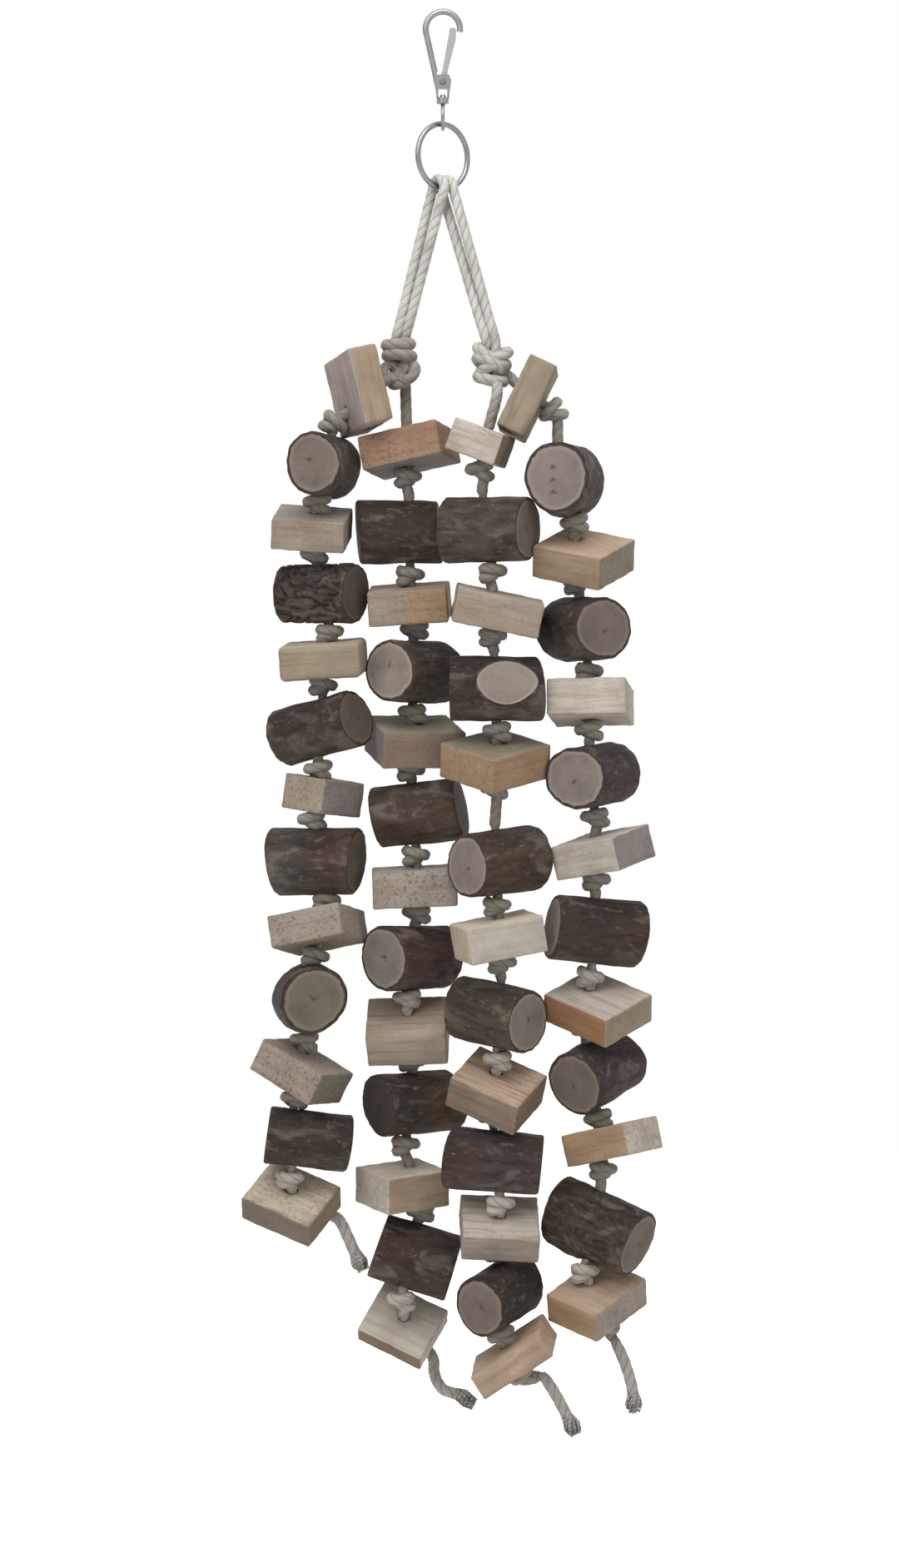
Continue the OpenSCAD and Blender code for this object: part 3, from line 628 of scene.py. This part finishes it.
def doubleLoops(side, centre, lean):
    # The turns of a double knot round the ropes that go through it
    spin = Matrix.Rotation(math.radians(-lean * 0.5), 3, "Y")
    loops = []
    for middle, axis, wide, deep, radius in doubleTurns[side]:
        way = (spin @ Vector(axis)).normalized()
        across = Vector((0, 1, 0)).cross(way).normalized()
        along = way.cross(across)
        at = centre + spin @ Vector(middle)
        loops.append([(at + across * wide * cosD(a) + along * deep * sinD(a), radius)
                      for a in range(0, 361, 10)])
    return loops


insideLook = {"right": 2.6, "back": 1.5, "stops": (7, 1, -5)}


def doubleKnotPath(centre, lane, look):
    # One of the two ropes inside a double knot, from its leg down to where its strand leaves
    hand = -1 if lane == 0 else 1
    return [(centre + Vector((hand * look["right"], -hand * look["back"], z)), ropeR, False)
            for z in look["stops"]]


def resample(path, look):
    # A smooth curve through the path's points, with short steps where it shows
    out = []
    for k in range(len(path) - 1):
        p0 = path[max(0, k - 1)][0]
        p1, r1, hidden = path[k]
        p2, r2, _ = path[k + 1]
        p3 = path[min(len(path) - 1, k + 2)][0]
        span = (p2 - p1).length
        if span < 0.05:
            continue
        step = look["hiddenStep"] if hidden else look["step"]
        count = max(1, round(span / step))
        m1 = (p2 - p0) * (span / max(0.01, (p2 - p1).length + (p1 - p0).length))
        m2 = (p3 - p1) * (span / max(0.01, (p3 - p2).length + (p2 - p1).length))
        for j in range(count):
            t = j / count
            t2 = t * t
            t3 = t2 * t
            point = (p1 * (2 * t3 - 3 * t2 + 1) + m1 * (t3 - 2 * t2 + t)
                     + p2 * (3 * t2 - 2 * t3) + m2 * (t3 - t2))
            out.append((point, r1 + (r2 - r1) * t))
    out.append((path[-1][0], path[-1][1]))
    return out


def sweepRope(points, look, tone, caps=True):
    # Sweeps the laid rope's three-lobed section along (point, radius), and gives what its material reads
    sides = look["sides"]
    verts, yarn, groove, colours = [], [], [], []
    side = None
    run = 0.0
    for k, (p, r) in enumerate(points):
        before = points[max(0, k - 1)][0]
        after = points[min(len(points) - 1, k + 1)][0]
        way = (after - before).normalized()
        if side is None:
            side = way.orthogonal().normalized()
        side = (side - way * side.dot(way)).normalized()
        front = way.cross(side)
        run += (p - before).length
        twist = 2 * math.pi * run / look["lay"]
        shade = noise.noise(p * look["shadeSize"]) * look["shade"]
        for j in range(sides):
            a = 2 * math.pi * j / sides
            lobe = abs(math.sin(1.5 * a))
            radius = r * (1 - look["groove"] * (1 - lobe) ** look["grooveSharp"])
            b = a + twist
            verts.append(p + side * radius * math.cos(b) + front * radius * math.sin(b))
            yarn.append((3 * math.cos(a), 3 * math.sin(a), run))
            # groove: where the creases between the strands get painted shade
            groove.append(max(0.0, 1 - lobe * look["grooveShadeWide"]))
            colours.append(tone(p) * (1 + shade))
    faces = bandFaces(len(points) - 1, sides)
    if caps:
        last = (len(points) - 1) * sides
        faces.append(tuple(range(sides - 1, -1, -1)))
        faces.append(tuple(last + j for j in range(sides)))
    return {"verts": verts, "faces": faces, "yarn": yarn, "groove": groove, "tone": colours}


def addRopeMesh(name, shapes):
    verts, faces, yarn, groove, colours = [], [], [], [], []
    for shape in shapes:
        base = len(verts)
        verts += shape["verts"]
        faces += [tuple(base + v for v in f) for f in shape["faces"]]
        yarn += shape["yarn"]
        groove += shape["groove"]
        colours += shape["tone"]
    piece = newPiece(name, verts, faces, [cotton])
    setVectors(piece.data, "yarn", yarn)
    setNumbers(piece.data, "groove", groove)
    setColours(piece.data, "tone", colours)
    return piece


def ropeTone(p):
    # Lighter above the double knots, darker down the strands, the left double knot darker than the right;
    # painted light round the listed knots
    look = ropeLook
    legs = linear(look["legTone"])
    knot = linear(look["knotTone"]).lerp(legs, look["rightLighter"] * smoothStep(p.x / look["rightOver"]))
    tone = legs.lerp(knot, smoothStep((look["legsTo"] - p.z) / look["legsOver"]))
    tone = tone.lerp(linear(look["tone"]), smoothStep((look["strandsFrom"] - p.z) / look["strandsOver"]))
    # Round each listed knot the rope is painted lighter: painted light
    for s, k in look["paintedLightKnots"]:
        off = (p - hung[s][0][k]).length / toy["knotWide"]
        tone = tone.lerp(linear(look["paintedLightTone"]), smoothStep(look["paintedLightReach"] * (1 - off)))
    return tone


def oneTone(colour):
    level = linear(colour)
    return lambda p: level


# The four loose ends, the only free rope

tailLook = {
    "fray": 12, "yarns": 60, "yarnR": 0.8, "bodyR": 3.5, "spread": 4.8, "inner": 2.9, "gather": 1.2,
    "spiral": 2.4, "sway": 1.4, "curl": 0.9, "taper": 0.3, "past": 0.8,
    "tone": "#b0aca5", "frayTone": "#d3cfc8",
}
yarnLook = {**ropeLook, "sides": 6, "lay": 5, "groove": 0.1}


def tailPath(s):
    start = endPoint(s)
    points = [start, start + endWay(s) * ropeR]
    points += [hung[s][0][-1] + Vector(t) for t in tailWays[s] if Vector(t).length > toy["knotWide"]]
    smooth = resample([(p, ropeR, False) for p in points], {"step": 2.0, "hiddenStep": 2.0})
    return [point[0] for point in smooth]


def frayedEnd(points, look, seed):
    # Yarns that spread from where the lay comes undone
    pick = random.Random(seed)
    shapes = []
    count = max(3, round(look["fray"] / 2))
    way = (points[-1] - points[-count - 1]).normalized()
    route = points[-count - 1:] + [points[-1] + way * look["past"]]
    side = way.orthogonal().normalized()
    front = way.cross(side)
    tone = oneTone(look["frayTone"])
    for k in range(look["yarns"]):
        a = look["spiral"] * k + pick.uniform(-0.3, 0.3)
        out = math.sqrt((k + 0.5) / look["yarns"])
        reach = 1.3 if k % 3 == 0 else pick.uniform(0.7, 1.1)
        curl = pick.uniform(-look["curl"], look["curl"])
        line = []
        for j, p in enumerate(route):
            t = j / count
            if t > reach + 0.01:
                break
            opening = (look["spread"] - look["inner"]) * smoothStep(t * 1.5)
            radius = out * (look["inner"] + opening - look["gather"] * smoothStep(t * 3 - 2))
            b = a + (look["sway"] + curl) * t
            line.append((p + side * radius * math.cos(b) + front * radius * math.sin(b),
                         look["yarnR"] * (1 - look["taper"] * t)))
        if len(line) > 2:
            shapes.append(sweepRope(line, yarnLook, tone))
    return shapes


for s, name in enumerate(strandNames):
    route = tailPath(s)
    cut = max(2, len(route) - round(tailLook["fray"] / 2) + 1)
    swollen = [(p, ropeR + (tailLook["bodyR"] - ropeR) * min(1, k / 4)) for k, p in enumerate(route[:cut])]
    body = sweepRope(swollen, ropeLook, oneTone(tailLook["tone"]))
    tail = addRopeMesh("tail_" + name, [body] + frayedEnd(route, tailLook, 40 + s))
    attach(tail, "toy")
    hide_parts("rope_tails")
print("loose ends made")

for name, side, centre, lean, pair in (("rope_left", -1, doubleKnots[0], 10, (0, 1)),
                                       ("rope_right", 1, doubleKnots[1], -10, (2, 3))):
    path = strandPath(pair[0], ropeLook)[::-1] + doubleKnotPath(centre, 0, insideLook)[::-1]
    path += legsPath(side, centre, legLook)
    path += doubleKnotPath(centre, 1, insideLook) + strandPath(pair[1], ropeLook)
    parts = [sweepRope(resample(path, ropeLook), ropeLook, ropeTone)]
    for loop in doubleLoops(side, centre, lean):
        parts.append(sweepRope(loop, ropeLook, ropeTone, caps=False))
    rope = addRopeMesh(name + "_laid", parts)
    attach(rope, "toy")
    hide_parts(name)
    print(name, "faces", len(rope.data.polygons))

# Wood


def spinAbout(axis, degrees):
    return Matrix.Rotation(math.radians(degrees), 4, axis)


def turned(piece):
    t = piece["turn"]
    if piece["kind"] == "block":
        turn = spinAbout("Y", t[1]) @ spinAbout("X", t[0]) @ spinAbout("Z", t[2])
    else:
        turn = spinAbout("Z", t[2]) @ spinAbout("Y", -t[1]) @ spinAbout("X", t[0])
    return turn @ Matrix.Translation((piece["off"] * mm, 0, 0))


def cutWith(piece, tool, operation):
    # Joins a tool's shape to the piece, or takes it away, and removes the tool
    step = piece.modifiers.new("cut", "BOOLEAN")
    step.object = tool
    step.operation = operation
    step.solver = "MANIFOLD"
    bpy.context.view_layer.update()
    shaped = bpy.data.meshes.new_from_object(piece.evaluated_get(bpy.context.evaluated_depsgraph_get()))
    old = piece.data
    piece.modifiers.clear()
    piece.data = shaped
    shaped.name = old.name
    bpy.data.meshes.remove(old)
    spent = tool.data
    bpy.data.objects.remove(tool)
    bpy.data.meshes.remove(spent)


def drill(piece, middle, way, radius, reach):
    # Bores the rope's hole, which is cut with a plain round bit
    side = way.orthogonal().normalized()
    front = way.cross(side)
    sides = 24
    verts = []
    for end in (-1, 1):
        for j in range(sides):
            a = 360 * j / sides
            verts.append(middle + way * end * reach + side * radius * cosD(a) + front * radius * sinD(a))
    faces = bandFaces(1, sides) + [tuple(range(sides - 1, -1, -1)), tuple(range(sides, 2 * sides))]
    last = len(piece.data.materials) - 1
    cutWith(piece, newPiece("bit", verts, faces, piece.data.materials, [last] * len(faces)), "DIFFERENCE")


# rings: each ring's share of the stub's radius, and how far it is behind its face
stubLook = {
    "high": 27.5, "stretch": 1.4, "point": 0.16, "wave": 0.025, "out": 1.5, "up": 9, "around": 72,
    "rings": [(1, 1.1), (0.98, 0.2), (0.955, 0), (0.9, 0.1), (0.87, 0.4), (0.8, 0.4), (0.6, 0), (0.4, 0),
              (0.2, 0)], "barkRings": 4,
}


def addStub(log, piece, middle, look):
    # The sawn face of a branch on a log's front, in a rim of bark
    front = toy["logD"] * piece["size"][0] / 2 + look["out"]
    around = look["around"]
    rings = [(1, front)] + look["rings"]
    verts, outs = [], []
    for share, behind in rings:
        for j in range(around):
            a = 360 * j / around
            reach = look["high"] / 2 * share * (1 + look["wave"] * sinD(3 * a + 40))
            high = reach * sinD(a) * (1 - look["point"] * cosD(a) ** 2)
            verts.append(Vector((look["stretch"] * reach * cosD(a), behind - front, high)))
            outs.append(share)
    faces = bandFaces(len(rings) - 1, around, False)
    kinds = [0 if k < look["barkRings"] * around else 1 for k in range(len(faces))]
    faces += [tuple(range(around)), tuple((len(rings) - 1) * around + j for j in range(around - 1, -1, -1))]
    kinds += [0, 1]
    stub = newPiece("stub", verts, faces, log.data.materials, kinds)
    setNumbers(stub.data, "out", outs)
    t = piece["turn"]
    stub.matrix_world = (Matrix.Translation(middle * mm) @ spinAbout("Z", t[2]) @ spinAbout("Y", -t[1])
                         @ Matrix.Translation((piece["stub"] * mm, 0, 0)) @ spinAbout("X", -look["up"]))
    cutWith(log, stub, "UNION")


logLook = {
    "around": 96, "along": 44, "capRings": 13, "capEdge": 0.95, "wave": 0.012, "taper": 0.02,
    "scarWide": 28, "scarAt": -0.35, "scarLong": 0.3, "furrow": 0.32, "lump": 0.45, "sawMark": 0.12,
}


def logRadius(r, a, u, seed, scar, look):
    wave = toy["logOval"] * cosD(2 * a) + look["wave"] * sinD(3 * a + 131 * seed + 60 * u)
    taper = look["taper"] * u * cosD(50 * seed)
    away = ((a - 180) / look["scarWide"]) ** 2 + ((u - look["scarAt"]) / look["scarLong"]) ** 2
    return r * (1 + wave - taper) + scar * math.exp(-away)


def makeLog(name, piece, seed, look):
    r = toy["logD"] * piece["size"][0] / 2
    half = toy["logLong"] * piece["size"][1] / 2
    scar = piece["size"][2]
    saw = (0.1 * sinD(seed * 57), 0.08 * sinD(seed * 91))
    around = look["around"]
    rim = toy["logRim"] / half
    inner = 1 - rim
    rows = [-1, rim * 0.4 - 1] + [2 * inner * k / look["along"] - inner for k in range(look["along"])]
    rows += [inner, 1 - rim * 0.4, 1]
    shift = Vector((seed * 17.3, seed * 5.1, seed * 9.7))
    verts, outs, cracks = [], [], []

    def place(u, a, radius):
        y = radius * cosD(a)
        z = radius * sinD(a)
        return Vector((u * (half + saw[0] * y) + saw[1] * z * u * u, y, z))

    for u in rows:
        edge = max(0.0, (abs(u) - inner) / rim)
        for j in range(around):
            a = 360 * j / around
            radius = logRadius(r, a, u, seed, scar, look)
            p = Vector((u * half, radius * cosD(a), radius * sinD(a)))
            furrow = noise.noise(Vector((p.x / 13, p.y / 4.2, p.z / 4.2)) + shift)
            lump = noise.noise(Vector((p.x / 17, p.y / 15, p.z / 15)) - shift)
            chip = noise.noise(Vector((p.y / 3, p.z / 3, u * 7)) + shift)
            radius += look["furrow"] * furrow * 1.6 + look["lump"] * lump
            crack = 0.0
            if "gnarl" in piece:
                swirl = noise.noise(Vector((p.x / 8 + lump * 2, p.y / 5.5, p.z / 5.5 + furrow)) + shift)
                crack = max(0.0, 1 - abs(swirl) * 5) * (1 - edge)
                radius -= piece["gnarl"] * crack
            cracks.append(crack)
            radius -= edge ** 1.5 * (toy["logRim"] * (0.75 + 0.5 * chip))
            verts.append(place(u, a, radius))
            outs.append(1.0)
    faces = bandFaces(len(rows) - 1, around, False)
    kinds = [0] * len(faces)
    for end, first in ((-1, 0), (1, (len(rows) - 1) * around)):
        ring = list(range(first, first + around))
        for c in range(1, look["capRings"]):
            share = 1 - c / look["capRings"] if c > 1 else look["capEdge"]
            base = len(verts)
            for j in range(around):
                p = verts[first + j]
                q = Vector((0, p.y * share, p.z * share))
                q.x = end * half + (saw[0] * q.y * end + saw[1] * q.z)
                q.x += end * look["sawMark"] * noise.noise(Vector((q.y / 1.5, q.z / 9, seed)))
                verts.append(q)
                outs.append(share)
            for j in range(around):
                n = (j + 1) % around
                quad = (ring[j], ring[n], base + n, base + j)
                faces.append(quad if end < 0 else quad[::-1])
                kinds.append(1)
            ring = list(range(base, base + around))
        verts.append(Vector((end * half, 0, 0)))
        outs.append(0.0)
        for j in range(around):
            n = (j + 1) % around
            fan = (ring[j], ring[n], len(verts) - 1)
            faces.append(fan if end < 0 else fan[::-1])
            kinds.append(1)
    log = newPiece(name, verts, faces, [bark, sawnEnd], kinds)
    setNumbers(log.data, "out", outs)
    setNumbers(log.data, "crack", cracks + [0.0] * (len(verts) - len(cracks)))
    return log


blockLook = {"gap": 2.3, "wear": 0.35, "sawMark": 0.12, "cut": 2.5, "slant": 1.6}


def makeBlock(name, piece, seed, look):
    size = [toy["blockLong"] * piece["size"][0], toy["blockWide"] * piece["size"][1],
            toy["blockThick"] * piece["size"][2]]
    cut = look["cut"] * sinD(seed * 77)
    slant = look["slant"] * sinD(seed * 131)
    edge = piece.get("worn", toy["blockEdge"])
    shift = Vector((seed * 11.9, seed * 3.7, seed * 7.3))

    def stops(length):
        inner = length - 2 * edge
        count = max(4, round(inner / look["gap"]))
        return ([-length / 2, -length / 2 + edge * 0.4]
                + [-inner / 2 + inner * k / count for k in range(count + 1)]
                + [length / 2 - edge * 0.4, length / 2])

    lines = [stops(length) for length in size]
    index = {}
    verts, faces = [], []

    def corner(i, j, k):
        if (i, j, k) not in index:
            p = Vector((lines[0][i], lines[1][j], lines[2][k]))
            inner = Vector([max(-h / 2 + edge, min(h / 2 - edge, c)) for c, h in zip(p, size)])
            outward = p - inner
            if outward.length > 0:
                reach = edge + look["wear"] * (noise.noise(p / 6 + shift) - 0.25)
                p = inner + outward.normalized() * reach
            mark = noise.noise(Vector((p.x / 2.2, p.y / 8, p.z / 4)) + shift)
            p += outward.normalized() * look["sawMark"] * mark
            p = Vector((p.x + cut * p.y / size[1], p.y + slant * p.x / size[0], p.z))
            index[(i, j, k)] = len(verts)
            verts.append(p)
        return index[(i, j, k)]

    counts = [len(line) - 1 for line in lines]
    for axis in range(3):
        u, v = [(1, 2), (2, 0), (0, 1)][axis]
        for end in (0, counts[axis]):
            for a in range(counts[u]):
                for b in range(counts[v]):
                    quad = []
                    for da, db in ((0, 0), (1, 0), (1, 1), (0, 1)):
                        at = [0, 0, 0]
                        at[axis] = end
                        at[u] = a + da
                        at[v] = b + db
                        quad.append(corner(*at))
                    faces.append(tuple(quad if end else quad[::-1]))
    return newPiece(name, verts, faces, [blockWood])


toneAndPaintedLightWays = {
    "front": Vector((0, -1, 0)), "right": Vector((0.8, -0.6, 0)), "left": Vector((-0.8, -0.6, 0)),
    "top": Vector((0, 0, 1)), "low": Vector((0, -0.35, -0.94)),
}


def dressBlock(obj, piece, tint):
    # A block's tone, with other tones where it faces each way in the world (lighter tops painted light,
    # darker undersides painted shade, the sides' tones partly their own colours and partly painted light
    # and shade), its specks and its grain
    mesh = obj.data
    turn = obj.matrix_world.to_3x3()
    base = linear(tones[piece["tone"]]) * tint
    long = toy["blockLong"] * piece["size"][0] * mm
    colours = []
    for v in mesh.vertices:
        colour = base
        if "far" in piece:
            colour = colour.lerp(linear(tones[piece["far"]]), smoothStep(v.co.x / long * 3 + 0.6))
        normal = turn @ v.normal
        # Facing up the tone is painted light, facing down painted shade; the other sides partly own colour,
        # partly painted light and shade
        for key, way in toneAndPaintedLightWays.items():
            if key in piece:
                facing = smoothStep((normal.dot(way) - 0.62) / 0.2)
                colour = colour.lerp(linear(tones[piece[key]]), facing)
        colours.append(colour)
    setColours(mesh, "tone", colours)
    setNumbers(mesh, "speck", [piece.get("speck", 0.1)] * len(mesh.vertices))
    setNumbers(mesh, "grain", [piece.get("grain", 0.4)] * len(mesh.vertices))


def dressLog(obj, piece, tint, seed, pick):
    # A log's bark with painted light on top and painted shade below, its sawn ends' tone and the star
    # cracks at their pith
    mesh = obj.data
    turn = obj.matrix_world.to_3x3()
    near = linear(barkTones[piece["bark"]])
    far = linear(barkTones[piece.get("farBark", piece["bark"])])
    half = toy["logLong"] * piece["size"][1] / 2 * mm
    colours = []
    for v in mesh.vertices:
        lit = (turn @ v.normal).z
        colour = near.lerp(far, smoothStep(v.co.x / half * 0.9 + 0.5)) * tint
        # Faces turned up get painted light in a pale tone, faces turned down get painted shade
        paintedTopLit = colour.lerp(linear(barkLook["paintedTopLight"]), 0.35 * smoothStep(lit))
        colours.append(paintedTopLit * (1 - 0.35 * smoothStep(-lit)))
    setColours(mesh, "tone", colours)
    setColours(mesh, "endTone", [linear(endTones[piece["end"]]) * tint] * len(mesh.vertices))
    piths = piece.get("pith", 1)
    middleY = pick.uniform(-2.5, 2.5)
    middleZ = pick.uniform(-2.5, 2.5)
    spots = []
    for v in mesh.vertices:
        p = v.co / mm
        spot = 0.0
        for k in range(piths):
            step = (k - (piths - 1) / 2) * 7
            y = p.y - middleY - step
            z = p.z - middleZ
            crack = max(0.0, math.cos(1.5 * math.atan2(z, y) + seed)) ** 12
            spot = max(spot, 1 - math.hypot(y, z) / (3.0 + 5.0 * crack))
        spots.append(spot)
    setNumbers(mesh, "spot", spots)


kinds = {"block": (makeBlock, blockLook, "pine_block"), "log": (makeLog, logLook, "bark_log")}
for s, strand in enumerate(strandNames):
    for i, piece in enumerate(strands[strand]):
        middle = hung[s][1][i]
        seed = s * 13 + i + 1
        node = f"{strand}_{i + 1:02d}_{piece['kind']}"
        maker, look, slot = kinds[piece["kind"]]
        obj = maker(node + "_wood", piece, seed, look)
        obj.matrix_world = Matrix.Translation(middle * mm) @ turned(piece)
        if "stub" in piece:
            addStub(obj, piece, middle, stubLook)
        drill(obj, middle, ropeWay(piece), ropeR + toy["holePlay"], halfThrough(piece) + 12)
        shift = Vector((seed * 0.31, seed * 0.17, seed * 0.23))
        setVectors(obj.data, "local", [v.co + shift for v in obj.data.vertices])
        pick = random.Random(seed)
        tint = 1 + pick.uniform(-0.07, 0.07)
        if piece["kind"] == "block":
            dressBlock(obj, piece, tint)
        else:
            dressLog(obj, piece, tint, seed, pick)
        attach(obj, "toy")
        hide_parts(node)
    print(strand, "wood made")

# Hook, swivel and ring: the CAD's own shapes, in plated steel

steelLook = {"snap_hook": ("#8e8f90", 0.34), "hook_gate": ("#a9aaab", 0.3), "gate_rivet": ("#77787a", 0.4),
             "swivel_eye": ("#8c8d8e", 0.3), "steel_ring": ("#8a8b8c", 0.28)}
for node, (colour, rough) in steelLook.items():
    steel = makeSteel("steel_" + node, colour, rough)
    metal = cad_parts[node]
    metal.data.materials.clear()
    metal.data.materials.append(steel)
print("hardware dressed")

# Light, floor and background

studio = {"ambient": 0.46, "room": (1.0, 0.99, 0.97, 1), "floorZ": -0.93, "floorR": 4, "floorGlow": 0.6}
# Each lamp's place, the height it aims at, its size and its power
lamps = {
    "key": ((-0.9, -1.5, 1.0), -0.42, 1.4, 19.5),
    "fill": ((1.6, -1.6, -0.2), -0.45, 1.6, 4),
    "top": ((0.1, -0.7, 1.1), -0.45, 1.2, 15),
    "back": ((0.4, 1.8, 0.4), -0.45, 1.6, 10),
}


def addLamp(name, place, aim, size, power):
    data = bpy.data.lights.new(name, "AREA")
    data.shape = "SQUARE"
    data.size = size
    data.energy = power
    lamp = bpy.data.objects.new(name, data)
    lamp.location = place
    lamp.rotation_euler = (Vector((0, 0, aim)) - Vector(place)).to_track_quat("-Z", "Y").to_euler()
    bpy.context.scene.collection.objects.link(lamp)


for name, spec in lamps.items():
    addLamp(name, *spec)


def seenRay(tree):
    # 1 where a ray comes from the camera, a mirror-like surface or glass
    path = tree.nodes.new("ShaderNodeLightPath")
    total = path.outputs["Is Camera Ray"]
    for name in ("Is Glossy Ray", "Is Transmission Ray"):
        add = tree.nodes.new("ShaderNodeMath")
        add.operation = "MAXIMUM"
        tree.links.new(total, add.inputs[0])
        tree.links.new(path.outputs[name], add.inputs[1])
        total = add.outputs[0]
    return total


def makeWorld():
    world = bpy.data.worlds.new("studio")
    world.use_nodes = True
    tree = world.node_tree
    tree.nodes.clear()
    mix = tree.nodes.new("ShaderNodeMixShader")
    tree.links.new(seenRay(tree), mix.inputs[0])
    for k, (colour, strength) in enumerate(((studio["room"], studio["ambient"]), ((1, 1, 1, 1), 1.0))):
        back = tree.nodes.new("ShaderNodeBackground")
        back.inputs["Color"].default_value = colour
        back.inputs["Strength"].default_value = strength
        tree.links.new(back.outputs[0], mix.inputs[k + 1])
    out = tree.nodes.new("ShaderNodeOutputWorld")
    tree.links.new(mix.outputs[0], out.inputs["Surface"])
    bpy.context.scene.world = world


def makeFloor():
    n = Nodes("paleFloor")
    n.put(n.shader, "Base Color", (0.9, 0.9, 0.9, 1))
    n.put(n.shader, "Roughness", 0.9)
    glow = n.add("ShaderNodeEmission", {"Color": (1, 1, 1, 1)})
    n.put(glow, "Strength", n.math("MULTIPLY", seenRay(n.tree), studio["floorGlow"]))
    both = n.add("ShaderNodeAddShader", {0: n.shader.outputs[0], 1: glow.outputs[0]})
    n.put(n.tree.nodes["Material Output"], "Surface", both.outputs[0])
    edge = studio["floorR"] / mm
    corners = [Vector((edge * cosD(a), edge * sinD(a), studio["floorZ"] / mm)) for a in range(0, 360, 10)]
    floor = newPiece("floor", corners, [tuple(range(len(corners)))], [n.material], smooth=False)


makeWorld()
makeFloor()
bpy.context.scene.view_settings.view_transform = "Standard"
print("studio set")
